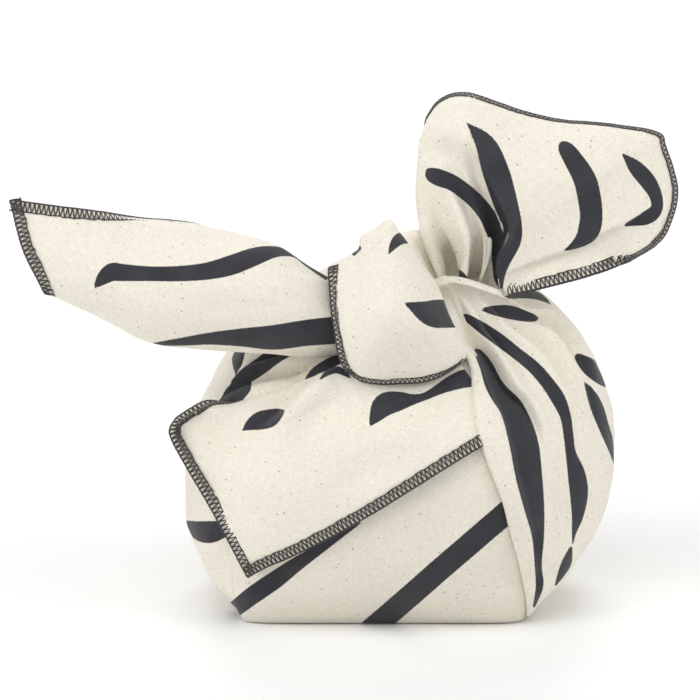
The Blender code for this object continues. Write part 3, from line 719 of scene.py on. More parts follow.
def rolled_top(points, height):
    """The right cover's top raised into the roll that leads into the knot, and on over its far side."""
    across, y = points[..., 0], points[..., 1]
    share = eased(share_of(height - ROLL_FROM, TOP - ROLL_FROM)) * eased(share_of(ROLL_BACK - y, ROLL_FADE))
    target = read_at(ROLL, across)
    seen = np.stack([across, seen_up(points), y], axis=-1)
    raised = seen.copy()
    raised[..., 1:] += (target - seen[..., 1:]) * share[..., None]
    points = front_points(raised)
    over = [points[-1:] + share[-1:, :, None] * np.array([0, back, up]) for back, up in ROLL_OVER]
    return np.concatenate([points] + over)


def cover_grid(edges, on_right, front_folds, rows, columns, seed):
    """The points of a side cover, from its folded edge on the front to the one on the back."""
    height = np.linspace(edges[0][0], edges[-1][0], rows)[:, None]
    edge_places = read_at(edges, height[:, 0])
    start = turn_at(edge_places[:, :1], height)
    end = turn_at(edge_places[:, 1:], height, True)
    if not on_right:
        start = start + 2 * math.pi
    rise = COVER_RISE * (THIN_FOOT + (1 - THIN_FOOT) * share_of(height, FULL_AT))
    radius = (rise - UNDER_GAP) / 2
    sunk = 0.0 if on_right else SUNK_EDGE
    angle = np.linspace(-math.pi / 2, math.pi / 2, NOSE_POINTS)
    under = np.broadcast_to(UNDER_LAYER, (rows, len(UNDER_LAYER)))
    inside = np.hstack([under, radius * (1 - np.cos(angle))])
    out = np.hstack([0 * under + UNDER_GAP, UNDER_GAP + radius * (1 + np.sin(angle))])
    on_top = np.hstack([0 * under, np.broadcast_to((1 + np.sin(angle)) / 2, (rows, NOSE_POINTS))])
    _, length = even_turns(height, start, end, np.zeros((rows, 1)))
    shares = np.linspace(0, 1, columns + 2)[1:-1] ** FRONT_CROWDING
    middle = radius + (length - 2 * radius) * shares
    full = np.ones((rows, columns))
    distance = np.hstack([inside, middle, length - inside[:, ::-1]])
    out = np.hstack([out, rise * full, out[:, ::-1]])
    out = out - (out + sunk) * (sunk > 0) * (1 - eased(share_of(distance, SOFT_RUN)))
    on_top = np.hstack([on_top, full, on_top[:, ::-1]])
    turn, _ = even_turns(height, start, end, distance / length)
    skin = bundle_points(turn, height)
    front = fold_lift(front_folds, skin[..., 0], seen_up(skin))
    back = fold_lift(BACK_FOLDS, skin[..., 0], skin[..., 2])
    lift = np.where(skin[..., 1] < 0, front, back)
    from_edge = np.minimum(distance, length - distance)
    lift = np.where(lift < 0, lift * eased(share_of(from_edge, CREASE_INSET)), lift)
    lift = lift * share_of(np.abs(skin[..., 1]), BACK_FRONT_FADE)
    lift = with_swells(lift, skin, (0.35, 24), (0.15, 11), seed)
    lift = lift * share_of(height, FOOT_FADE)
    lift = lift * on_top + np.minimum(rise + lift - LAYER_GAP, 0) * (1 - on_top)
    points = skin + skin_normals(turn, height) * (out + lift)[..., None]
    return rolled_top(points, height) if on_right else points


print("a cover's edge is", round((COVER_RISE - UNDER_GAP) / 2, 2), "mm in radius")

# %% [markdown]
# ## Strokes on the bundle
#
# The strokes follow the pleats, so they are set on the finished folds, one row of points for each.
# Those on the sides and the back don't show in the photograph. They are plain strokes of the same kind.

# %% Strokes on the bundle and the covers
# two strokes run over from the bundle to the left cover
LOW_LEFT = [(-17.9, 37.8, 1.6), (-34.9, 26.3, 3.1), (-44.9, 18.9, 3.9), (-54.9, 11.9, 3.9), (-64, 4.5, 3.4)]
GATHER_FOUR = ("gather four", "front",
               [(-31, 104, 1.4), (-27.4, 107.4, 3.2), (-22, 111, 3.6), (-16, 114, 3.4)])
BUNDLE_STROKES = [
    # name, side, line of (across, up, half width)
    ("low left", "front", [(-7.9, 44.3, 0.6)] + LOW_LEFT),
    ("straight", "front", [(66, 58, 5), (57, 50, 5), (42, 37, 5), (27, 24, 5), (12, 10.5, 5),
        (-6, -5.5, 5)]),
    ("behind flap", "front", [(44, 92, 0.8), (30, 86, 3.4), (8, 72, 4.2), (-12, 60, 3.8), (-34, 52, 3)]),
    GATHER_FOUR,
    ("back low", "back", [(-52, 18, 0.8), (-30, 24, 3.6), (-4, 36, 4.6), (20, 52, 3.8), (34, 66, 0.8)]),
    ("back high", "back", [(-30, 62, 0.8), (-12, 74, 4), (2, 92, 4.4), (8, 112, 2.6), (10, 128, 0.6)]),
    ("back right", "back", [(4, 12, 0.8), (24, 18, 3.4), (42, 30, 3.8), (54, 44, 1)]),
]
RIGHT_STROKES = [
    ("broad", "front", [(42, 119.2, 0.4), (43.9, 116.6, 2), (46.9, 111.2, 3), (49.6, 104.4, 3.8),
        (52.6, 99.6, 4.3), (58, 92.6, 5.3), (62.6, 79.3, 6.3), (65, 64.3, 5.8), (67.4, 50.4, 4.4),
        (69.1, 38.3, 2.7), (69.3, 25.7, 1.6), (70, 16.5, 1.7), (67.8, 7.4, 0.6)]),
    ("long", "front", [(36.8, 133.6, 0.4), (38.6, 132.6, 1.6), (45.3, 128, 2.5), (52.4, 123, 2.8),
        (59.9, 117.2, 2.6), (67.3, 111.2, 2.8), (73.2, 104.4, 2.9), (77.8, 97.6, 3.1), (81, 90, 2.4),
        (82.3, 81.7, 2.2), (83.3, 74.3, 2.3), (85.9, 64.8, 3.9), (87, 56.3, 4), (86.5, 46.8, 2.6),
        (85, 39.4, 1), (84.5, 34.7, 0.3)]),
    ("long foot", "front", [(83.6, 32.6, 0.8), (82, 26.7, 2.2), (79.9, 22, 1.8), (77.2, 16.7, 0.5)]),
    ("upper", "front", [(43.6, 136.4, 0.2), (50.6, 135.8, 2.2), (57.4, 135, 3), (63.6, 133.4, 2.4),
        (67.4, 132.6, 1.6), (70, 131.9, 0.3)]),
    ("top", "front", [(55, 141.2, 0.8), (61.5, 142.6, 1.5), (69, 142.4, 1.8), (76.4, 138.6, 0.5)]),
    ("side one", "front", [(85, 117.4, 0.3), (88.4, 114.4, 2.4), (92.4, 111, 3.7), (96.4, 107, 3),
        (99.4, 103.6, 1.2)]),
    ("side two", "front", [(89.8, 104.8, 0.4), (92.4, 100, 2), (95.2, 93.6, 2.9), (98.4, 84.6, 2.4),
        (101.6, 76.6, 2), (103.4, 70, 1)]),
    ("right one", "right", [(12, 122, 0.8), (14, 106, 2.8), (17, 86, 3.8), (20, 64, 3.2),
        (22, 42, 0.8)]),
    ("right two", "right", [(38, 116, 0.8), (44, 96, 3.4), (50, 72, 4.4), (48, 48, 3.2), (40, 28, 0.8)]),
    ("back one", "back", [(-36, 124, 0.8), (-52, 104, 3.2), (-62, 80, 4.2), (-64, 54, 3.2),
        (-58, 30, 0.8)]),
    ("back two", "back", [(-42, 92, 0.8), (-50, 70, 3), (-54, 48, 3.6), (-56, 24, 0.8)]),
]
LEFT_STROKES = [
    ("low left", "front", LOW_LEFT),
    ("low side", "front", [(-84, 41.8, 2.5), (-74.8, 39.6, 4.8), (-66.8, 41.4, 3.8), (-58, 46, 3)]),
    ("gather one", "front", [(-60.4, 121, 3.2), (-61, 115.4, 2.7), (-61.4, 111.6, 1.7),
        (-61.6, 108.6, 0.3)]),
    ("gather two", "front", [(-37.5, 119.8, 3.2), (-44, 116.8, 3.6), (-50.6, 112, 3.7),
        (-57.1, 107.6, 3.5), (-61.6, 104.2, 2.4)]),
    ("gather three", "front", [(-67, 96, 2.4), (-63, 99.2, 4.2), (-58.8, 102, 3.4),
        (-56.4, 103.4, 1.6)]),
    GATHER_FOUR,
    ("left one", "left", [(-38, 104, 0.8), (-32, 84, 3.4), (-24, 62, 4.2), (-22, 42, 3),
        (-26, 22, 0.8)]),
    ("back one", "back", [(6, 120, 0.8), (26, 104, 3), (42, 84, 4), (52, 58, 3.4), (54, 34, 0.8)]),
    ("back two", "back", [(44, 112, 0.8), (60, 92, 3), (70, 68, 3.4), (72, 44, 0.8)]),
]
print("strokes on the bundle and its covers:", len(BUNDLE_STROKES), len(RIGHT_STROKES), len(LEFT_STROKES))

# %% [markdown]
# ## The cloth on the bundle and its two covers
#
# Under a cover the cloth on the bundle doesn't show. It lies lower there, so that the cover's deep pleats
# don't cut into it.

# %% Bundle and covers
CORE_DROP = 6.8         # how much lower the cloth lies under a cover
CORE_MARGIN = 2.0       # starting this far past the cover's edge
CORE_RUN = 4.0          # and over this distance
ROW_SPACING = 1.15      # a power: more than 1 sets the rows closer near the base


def bundle_grid(rows, columns):
    """The points of the skin on the bundle, from the base to the knot."""
    height = TOP * np.linspace(0, 1, rows)[:, None] ** ROW_SPACING
    turn, _ = even_turns(height, 0 * height, 0 * height + 2 * math.pi,
                         np.broadcast_to(np.arange(columns) / columns, (rows, columns)))
    skin = bundle_points(turn, height)
    column = np.where(skin[..., 1] < 0, 0, 1)
    right = np.take_along_axis(read_at(RIGHT_EDGE, height[:, 0]), column, axis=1)
    left = np.take_along_axis(read_at(LEFT_EDGE, height[:, 0]), column, axis=1)
    past = np.maximum(skin[..., 0] - right, left - skin[..., 0])
    drop = CORE_DROP * share_of(past - CORE_MARGIN, CORE_RUN) * share_of(height, FOOT_FADE)
    swell = with_swells(0, skin, (0.4, 30), (0.12, 12), 5)
    lift = swell * share_of(height, FOOT_FADE) * share_of(-past, CORE_RUN) - drop
    return skin + skin_normals(turn, height) * lift[..., None]


bundle = cloth_sheet("cloth_on_bundle", bundle_grid(110, 300), BUNDLE_STROKES, 40,
                     wraps=True, closed_start=True)
right_cover = cloth_sheet("right_cover", cover_grid(RIGHT_EDGE, True, RIGHT_FOLDS, 190, 210, 11),
                          RIGHT_STROKES, 20)
left_cover = cloth_sheet("left_cover", cover_grid(LEFT_EDGE, False, LEFT_FOLDS, 130, 150, 21)[:, ::-1],
                         LEFT_STROKES, -20)

# %% [markdown]
# ## The draped corner
#
# The back corner of the cloth comes over the top and hangs down the front. Its ribs run from the lower
# hem up towards the knot, and a smooth sheet goes through them. The raised ridge and the slack are folds
# on it.

# %% Tables of the draped corner
FLAP_RIBS = [
    # each rib: points of (across, up, y)
    [(-56.5, 20.5, -58), (-71, 48, -55), (-83, 68.5, -47), (-89, 79.5, -42), (-90, 84.5, -40),
     (-87.5, 89, -37)],
    [(-48.5, 25, -57), (-61.5, 49, -56), (-72.5, 70, -50), (-79, 83, -43), (-81.5, 89, -38),
     (-81.5, 93, -35)],
    [(-38, 29.5, -58), (-50.5, 51.5, -58), (-61.5, 73, -54), (-69.5, 86, -44), (-73, 92.5, -38),
     (-74, 96.5, -34)],
    [(-21, 38, -60), (-32.5, 59, -61), (-44, 79.5, -58), (-53.5, 91.5, -48), (-60, 95, -42),
     (-63.5, 96, -38)],
    [(-2.5, 48.5, -62), (-14.5, 71.5, -61), (-26, 92, -52), (-36, 98, -44), (-44.5, 99.5, -40),
     (-51, 101, -38)],
    [(16, 60, -62), (4.5, 81.5, -60), (-8, 100, -52), (-18, 107.5, -43), (-26.5, 107.6, -36),
     (-33, 105, -33)],
    [(33.5, 71, -60), (22.5, 89, -56), (11.5, 104, -46), (3, 110.5, -37), (-5, 113.4, -31),
     (-14, 113.6, -26)],
    [(52, 82, -58), (46, 95, -52), (40, 106.5, -44), (34, 114, -34), (26, 119, -28), (16, 123, -20)],
]
FLAP_FOLDS = [
    ("ridge", 9, 1.5, [(-10, 113.5, 1), (-19.6, 110, 3.2), (-25.2, 106.5, 6.4), (-32.6, 100.4, 8.4),
        (-39.6, 91.9, 7.2), (-44.8, 87.4, 4.4), (-49.5, 84, 1.4), (-56, 80, 0)]),
    ("behind ridge", 1.4, 9, [(-23, 110.5, -2.4), (-28, 107, -4.2), (-35.2, 101.4, -5.2),
        (-42, 93.6, -4.2), (-48, 88.6, -1.8), (-54, 85.4, 0)]),
    ("raised hem", 4, 4, [(-62, 94, 1.4), (-72, 95, 2.6), (-82, 91, 2.8), (-89, 82, 2.8), (-84, 70, 1.6),
        (-74, 54, 0.6)]),
    ("valley", 7, 9, [(-72, 80, 0), (-55, 82, -1.6), (-38, 88, -1.8), (-20, 97, -1), (-8, 104, 0)]),
    ("slack", 10, 9, [(-30, 66, 0), (-10, 74, 1), (12, 84, 1.2), (30, 92, 0)]),
    ("lower hem", 13, 8, [(-44, 26, 0), (-20, 38.5, 1.8), (2, 51.5, 3), (20, 62, 3.4), (32, 69.5, 3),
        (41, 75, 1.4), (48, 79.5, 0)]),
]
FLAP_STROKES = [
    ("left", "front", [(-58.6, 84, 0.3), (-54.8, 86.6, 2.5), (-51, 88.2, 3.9), (-47, 89.2, 3.9),
        (-43.6, 91, 2.4), (-41, 92.4, 0.6)]),
    ("upper", "front", [(-25, 106.2, 0.4), (-21.5, 109.2, 1.4), (-18, 110.2, 1.6), (-15, 109, 1.3),
        (-12.2, 106.8, 0.4)]),
    ("right", "front", [(-3.7, 85.9, 0.2), (-1.2, 90, 2.6), (2.6, 95, 4.9), (8.4, 96.6, 4.2),
        (14.8, 97.4, 2.3), (20.5, 98.9, 1.7), (27.3, 102.4, 2.5), (33, 105, 3.5), (38.6, 106.6, 4),
        (46, 106.8, 4.1)]),
]
# how far its upper hem bends back, at places that are spread evenly along it
FLAP_CURL = [0, 0, 0, 0.5, 5, 9, 9, 9, 5, 0, 0, 0]
print("ribs, folds and strokes of the corner:", len(FLAP_RIBS), len(FLAP_FOLDS), len(FLAP_STROKES))

# %% [markdown]
# ## Laying the corner on the bundle
#
# Cloth that hangs rests on what is behind it. A simulation could do that, but it would move the folds
# away from where they are seen. So each point keeps its place as it is seen from the front, and only its
# depth changes: where the bundle or the left cover lies behind it, it is held forward of them.

# %% Resting and curling
REST_GAP = 1.9          # the draped layer's face stands this far off the bundle
STEP_RUN = 45.0         # it climbs onto the left cover over this distance
STEEPEST = 0.45         # the least share of a side's slope that is reckoned with there
SOFTNESS = 0.7          # how gently it comes off the bundle
NOTHING_BEHIND = 500.0
CURL_RUN = 6.5          # a hem curls back over this width
FORWARD = np.array([0, -math.cos(LEAN), math.sin(LEAN)])
SHOWN = (60, 40)        # the point of every ribbed grid that is known to face the front


def through_ribs(ribs, count, points_each):
    """A smooth grid through ribs: that many ribs, with that many points on each."""
    return smooth(smooth(ribs, count), points_each, axis=1)


def front_of_bundle(across, up):
    """The y of the bundle's front where it is seen, and its height there."""
    low, high = np.zeros(across.shape), np.full(across.shape, TOP)
    for _ in range(HALVINGS):
        middle = (low + high) / 2
        beyond = seen_up(bundle_points(turn_at(across, middle), middle)) < up
        low, high = np.where(beyond, middle, low), np.where(beyond, high, middle)
    left, right = np.moveaxis(read_at(BUNDLE, low)[..., :2], -1, 0)
    y = bundle_points(turn_at(across, low), low)[..., 1]
    return np.where((left < across) & (across < right), y, NOTHING_BEHIND), low


def rested(seen):
    """The points of the draped corner, held forward where something is behind it."""
    across, up, y = np.moveaxis(seen, -1, 0)
    skin, height = front_of_bundle(across, up)
    left, right = np.moveaxis(read_at(BUNDLE, height)[..., :2], -1, 0)
    on_cover = eased(share_of(read_at(LEFT_EDGE, height)[..., 0] + STEP_RUN - across, STEP_RUN))
    sideways = share_of((left + right) / 2 - across, (right - left) / 2)
    slope = np.maximum(np.sqrt(1 - sideways ** 2), STEEPEST)
    clear = skin - (REST_GAP + COVER_RISE * on_cover) / slope
    return np.stack([across, up, -SOFTNESS * np.logaddexp(-y / SOFTNESS, -clear / SOFTNESS)], axis=-1)


def curled_hem(grid, curl):
    """The grid with its last column bent back, by its own amount for each row."""
    from_hem = lengths_along(grid[:, ::-1])[:, ::-1]
    bend = curl[:, None] * (1 - share_of(from_hem, CURL_RUN)) ** 2
    return grid - FORWARD * bend[..., None]


def to_front(grid):
    """The same grid with its printed face to the front."""
    return grid if grid_normals(grid)[SHOWN] @ FORWARD > 0 else grid[:, ::-1]


def flap_grid(ribs, points_each):
    """The points of the draped corner, rib by rib from its tip on the left."""
    seen = through_ribs(FLAP_RIBS, ribs, points_each)
    points = front_points(rested(seen))
    lift = fold_lift(FLAP_FOLDS, seen[..., 0], seen[..., 1])
    lift = with_swells(lift, points, (0.3, 26), (0.12, 12), 31)
    return points + FORWARD * lift[..., None]


flap_points = curled_hem(flap_grid(160, 150), smooth(FLAP_CURL, 160))
flap = cloth_sheet("draped_corner", to_front(flap_points), FLAP_STROKES)

# %% [markdown]
# ## The knot
#
# A band of cloth crosses the knot, with its overlocked hem on the left and at the bottom. It bulges
# forward under the pull, and its top goes over a ridge. Its ribs run from the bottom hem over the top to
# the back.

# %% The knot's band
BAND_RIBS = [
    # each rib: bottom hem, its turn, low, middle, ridge, upper facet, top, behind the top, low behind
    [(-13.2, 109.6, -55.5), (-14, 112, -57.5), (-16, 117, -58), (-18.3, 130, -57.5), (-20.3, 145, -54),
     (-21.3, 152.5, -49), (-20, 156, -40), (-19, 153, -28), (-18, 145, -20)],
    [(-8, 106, -57.5), (-8.7, 108.9, -61.5), (-10.2, 114, -64), (-11.3, 127.5, -68), (-12, 143, -63.5),
     (-12.6, 154, -54), (-10.8, 160.4, -43), (-11, 157, -27), (-11, 148, -17)],
    [(-5, 105.1, -58.5), (-5.7, 108.1, -63), (-7, 113.6, -66.2), (-8.2, 127.8, -71), (-9, 143.2, -66.5),
     (-9.4, 155.2, -55), (-8.2, 162.8, -42.5), (-8.5, 160, -26), (-8.4, 150, -16)],
    [(-2, 104.5, -59.2), (-2.6, 107.6, -64), (-3.8, 113.2, -67.6), (-5, 128, -73.8), (-6, 143.6, -69.5),
     (-6.6, 157, -56.5), (-7.2, 167.4, -42), (-6.6, 163, -25), (-6, 151, -15)],
    [(3, 104, -60), (2.5, 107.2, -64.8), (1.6, 112.8, -68.8), (0.2, 128.3, -77), (-1, 144, -72.8),
     (-2, 159, -57.5), (-1.6, 171, -41), (-1.4, 167, -24), (-1.5, 153.5, -14)],
    [(10, 104.3, -60.5), (9.7, 107.5, -65.4), (9, 113, -69.8), (7, 128.6, -79.2), (4.5, 144.6, -75),
     (3.6, 160, -59), (4.6, 175.2, -39), (4, 169, -22), (3.6, 155, -12)],
    [(17, 105.1, -60.3), (16.9, 108.2, -65), (16.6, 113.6, -69.2), (14.4, 128.6, -78),
     (11.2, 143.8, -73.8), (8.8, 158.6, -58.5), (9, 169.6, -42), (8, 166, -24), (8, 153.5, -13)],
    [(24.5, 107, -58.6), (24.9, 109.9, -63), (25.2, 115.2, -66.8), (22.8, 128, -73.4),
     (18.2, 142, -69.8), (14.2, 155.6, -56.5), (13, 164.8, -44), (12, 161, -27), (11.6, 150, -16)],
    [(31.5, 110.4, -55), (32, 112.8, -60), (32.2, 117.4, -62.4), (29.4, 127, -64.5), (24.6, 140, -61.5),
     (19.8, 151.6, -52.5), (17, 158.4, -43), (15, 155, -28), (14, 147, -20)],
    [(37.9, 115.2, -49), (38.1, 116.4, -51), (37.6, 119, -53), (33.4, 128, -55), (28, 141, -51),
     (24, 149, -46), (20.7, 152, -41), (19, 149, -30), (18, 143, -24)],
    [(36, 116, -42), (36.2, 117, -42), (36, 119.4, -42), (32, 127.5, -41), (26.8, 139.5, -37),
     (23.2, 146.5, -33), (20, 148.5, -30), (18.5, 146, -27), (17.5, 142, -23)],
]
BAND_FOLDS = [
    ("left edge roll", 2.5, 4, [(-14, 112, 0.8), (-17, 122, 1.2), (-18, 134, 1.2), (-18.5, 146, 0.6)]),
    ("swell", 8, 9, [(4, 112, 0), (2, 122, 1.4), (2, 134, 1.2), (4, 146, 0)]),
    ("hollow", 6, 6, [(18, 110, 0), (20, 120, -1), (17, 130, -1), (13, 140, 0)]),
    ("facet", 5, 3, [(-10, 146, 0), (2, 150, 1), (14, 148, 0.8), (22, 143, 0)]),
    ("dent", 6, 7, [(-9, 132, 0), (-3, 129, -0.9), (4, 127, -0.6), (10, 127, 0)]),
]
BAND_STROKES = [
    ("low", "front", [(10.7, 138.8, 0.1), (13.4, 137.9, 1.3), (16, 136.8, 2.5), (20.9, 134.9, 4.8),
        (24.6, 134.3, 6), (28, 134.3, 6.1), (35, 134.5, 6.1)]),
    ("top", "front", [(4.4, 160, 0.3), (6.8, 164.2, 1.9), (9.9, 166.8, 2.6), (13, 166, 1.4)]),
    ("left", "front", [(-10.4, 160.2, 0.9), (-8.2, 162.6, 0.9)]),
]


def band_grid(ribs, points_each):
    """The points of the band, rib by rib from its left hem to the right."""
    points = front_points(through_ribs(BAND_RIBS, ribs, points_each))
    out = -grid_normals(points)
    lift = fold_lift(BAND_FOLDS, points[..., 0], seen_up(points))
    lift = with_swells(lift, points, (0.3, 22), (0.1, 10), 41)
    return points + out * lift[..., None]


band_points = band_grid(140, 110)
band = cloth_sheet("knot_band", to_front(band_points), BAND_STROKES, 4)

# %% [markdown]
# ## Behind the band
#
# Behind the band lies the rest of the knot, where the other end is wound round. Little of it shows, so it
# is one closed sleeve: a rounded square at each step across the knot.

# %% The knot's winding
WINDING = [
    # across, bottom up, top up, front y, back y, square
    (-30, 124, 150,   -30, 4,  2.0),
    (-20, 118, 156,   -36, 16, 2.1),
    (-10, 114, 160,   -39, 26, 2.2),
    (0,   114, 164,   -42, 30, 2.3),
    (8,   114, 168.5, -38, 32, 2.3),
    (13,  115, 171,   -33, 32, 2.3),
    (18,  115, 171,   -30, 32, 2.3),
    (23,  116, 166,   -29, 32, 2.3),
    (28,  117, 158,   -27, 30, 2.2),
    (34,  118, 152,   -28, 27, 2.2),
    (42,  120, 149,   -22, 22, 2.1),
    (52,  124, 147,   -16, 14, 2.1),
    (60,  129, 144,   -12, 6,  2.0),
]
WINDING_FOLDS = [
    ("wind one", 1.4, 4, [(12, 172, 0), (19, 166, -3), (24, 158, -3.6), (27, 150, -2.4), (28, 142, 0)]),
    ("wind two", 1.4, 3, [(20, 170, 0), (26, 162, -2.4), (30, 154, -3), (32, 146, -1.6), (33, 140, 0)]),
]
WINDING_STROKES = [
    ("corner", "front", [(32.6, 151.8, 0.9), (34.4, 150.9, 1.5), (36.5, 149.6, 0.8)]),
    ("behind", "back", [(-20, 132, 0.8), (-4, 138, 3.2), (12, 140, 3.6), (22, 134, 0.8)]),
]


def winding_grid(rows, columns):
    """The points of the winding, as rounded squares across the knot from left to right."""
    across = np.linspace(WINDING[0][0], WINDING[-1][0], rows)[:, None]
    turn = -2 * math.pi * np.arange(columns) / columns
    up, y = rounded_square(turn, *np.moveaxis(read_at(WINDING, across), -1, 0))
    points = front_points(np.stack([across + 0 * y, up, y], axis=-1))
    lift = fold_lift(WINDING_FOLDS, points[..., 0], seen_up(points)) * (points[..., 1] < 0)
    lift = lift + 0.5 * unevenness(points, 18, 51)
    return points + grid_normals(points, True) * lift[..., None]


winding = cloth_sheet("knot_winding", winding_grid(90, 110), WINDING_STROKES, wraps=True)

# %% [markdown]
# ## The left end
#
# One corner of the cloth sticks out to the left, folded lengthwise: its ribs run from the hem or the
# rolled upper edge down the front, round the lower fold and up behind.

# %% The left end
LEFT_RIBS = [
    # ribs from the hem on the left to the knot, with points of (across, up, y) for the upper edge, its
    # turn, front, low front, lower fold, low behind, behind and the upper edge behind
    [(-158.3, 183, -47.8), (-157.4, 180, -48.8), (-153, 163, -54), (-146.5, 149, -55),
     (-143.5, 143, -50.5), (-145, 149, -46), (-147.5, 161, -44), (-150.5, 172, -43)],
    [(-132, 179.6, -45.8), (-131.8, 176.8, -47.4), (-130.5, 160, -56), (-128, 144, -58),
     (-126, 135.5, -51.5), (-126.5, 144, -44), (-128, 158, -41), (-129.5, 170, -40)],
    [(-104, 175.8, -42), (-104, 173.2, -45.2), (-103.5, 153, -59), (-102.5, 134, -61), (-102, 123, -51),
     (-102, 134, -41), (-102.5, 152, -37), (-103, 167, -36)],
    [(-76, 172.4, -39.5), (-76, 170.6, -43.5), (-76, 150, -62), (-76, 130, -63), (-76, 119, -49),
     (-76, 130, -36), (-76, 148, -31), (-76, 162, -30)],
    [(-48, 160, -28), (-48, 165, -40), (-48, 147, -62), (-48, 128, -62), (-48, 117, -46),
     (-48, 127, -30), (-48, 141, -25), (-48, 152, -24)],
    [(-28, 149, -28), (-28, 154, -39), (-28, 140, -58), (-28, 125, -57), (-28, 115.5, -42),
     (-28, 124, -27), (-28, 135, -22), (-28, 145, -23)],
    [(-10, 140, -30), (-10, 144, -38), (-10, 136, -51), (-10, 125, -50), (-10, 118, -40),
     (-10, 124, -27), (-10, 133, -22), (-10, 139, -23)],
]
# how far its upper edge bends back, at places that are spread evenly along it
LEFT_CURL = [0, 0, 0, 1.5, 5, 8, 9, 9, 9, 9, 9, 9, 9]
LEFT_END_FOLDS = [
    ("along the top", 5, 8, [(-120, 170, 0), (-96, 167, -1.2), (-70, 166, -1.6), (-48, 160, 0)]),
    ("soft ridge", 9, 9, [(-120, 156, 0), (-90, 158, 1.2), (-64, 160, 1.8), (-44, 158, 0.8),
        (-30, 150, 0)]),
    ("low hollow", 7, 6, [(-92, 132, 0), (-70, 136, -1), (-46, 137, -1.4), (-24, 134, -0.6)]),
    ("gather", 3, 3, [(-14, 142, 1.4), (-26, 147, 1.6), (-38, 150, 0.8), (-50, 151, 0)]),
    ("gather", 3, 3, [(-14, 136, -1.4), (-24, 139, -1.4), (-38, 142, -0.8), (-52, 144, 0)]),
]
LEFT_END_STROKES = [
    ("upper", "front", [(-122.2, 145.2, 0.3), (-118.4, 149.6, 2.8), (-114.4, 152.2, 3.9),
        (-110, 152, 3.7), (-99, 151.5, 3.2), (-86.4, 151.5, 3.3), (-73.7, 152.6, 3.7),
        (-63.2, 155.2, 4.3), (-52.7, 159.1, 3.9), (-44.2, 161, 2.4), (-36.3, 160, 1.3),
        (-30.5, 155.7, 1.2), (-22.6, 149.9, 1)]),
    ("lower", "front", [(-97.4, 121.2, 0.5), (-85.3, 122.2, 1.7), (-72.7, 123.6, 2.6), (-59, 124.1, 3.9),
        (-45.3, 124.1, 5.3), (-31.6, 126, 5.6), (-20, 127.1, 5.9), (-12, 128, 5.9)]),
    ("behind", "back", [(138, 152, 0.8), (118, 150, 3.2), (92, 142, 3.8), (66, 138, 4), (40, 132, 3)]),
]
FOLDED_FULLY = 0.5      # folds have their full height where the cloth faces the front by this much


def end_grid(ribs, folds, count, points_each, seed):
    """The points of a free end of the cloth, rib by rib, with folds on the side that shows."""
    points = front_points(through_ribs(ribs, count, points_each))
    normal = grid_normals(points)
    shown = normal @ FORWARD
    sign = 1.0 if np.median(shown[:, points_each // 4]) > 0 else -1.0
    facing = eased(share_of(sign * shown, FOLDED_FULLY))
    lift = fold_lift(folds, points[..., 0], seen_up(points)) * facing
    lift = with_swells(lift, points, (0.35, 28), (0.12, 12), seed)
    return points + sign * normal * lift[..., None]


left_points = end_grid(LEFT_RIBS, LEFT_END_FOLDS, 140, 130, 61)
left_points = curled_hem(left_points[:, ::-1], smooth(LEFT_CURL, 140))[:, ::-1]
left_end = cloth_sheet("left_end", to_front(left_points), LEFT_END_STROKES, 38)

# %% [markdown]
# ## The right end
#
# The other corner stands up to the right like a fan. Its ribs run from the knot out to the hem, from the
# lower hem round the corner of the cloth to the rolled left side. A fold edge crosses the front of it.

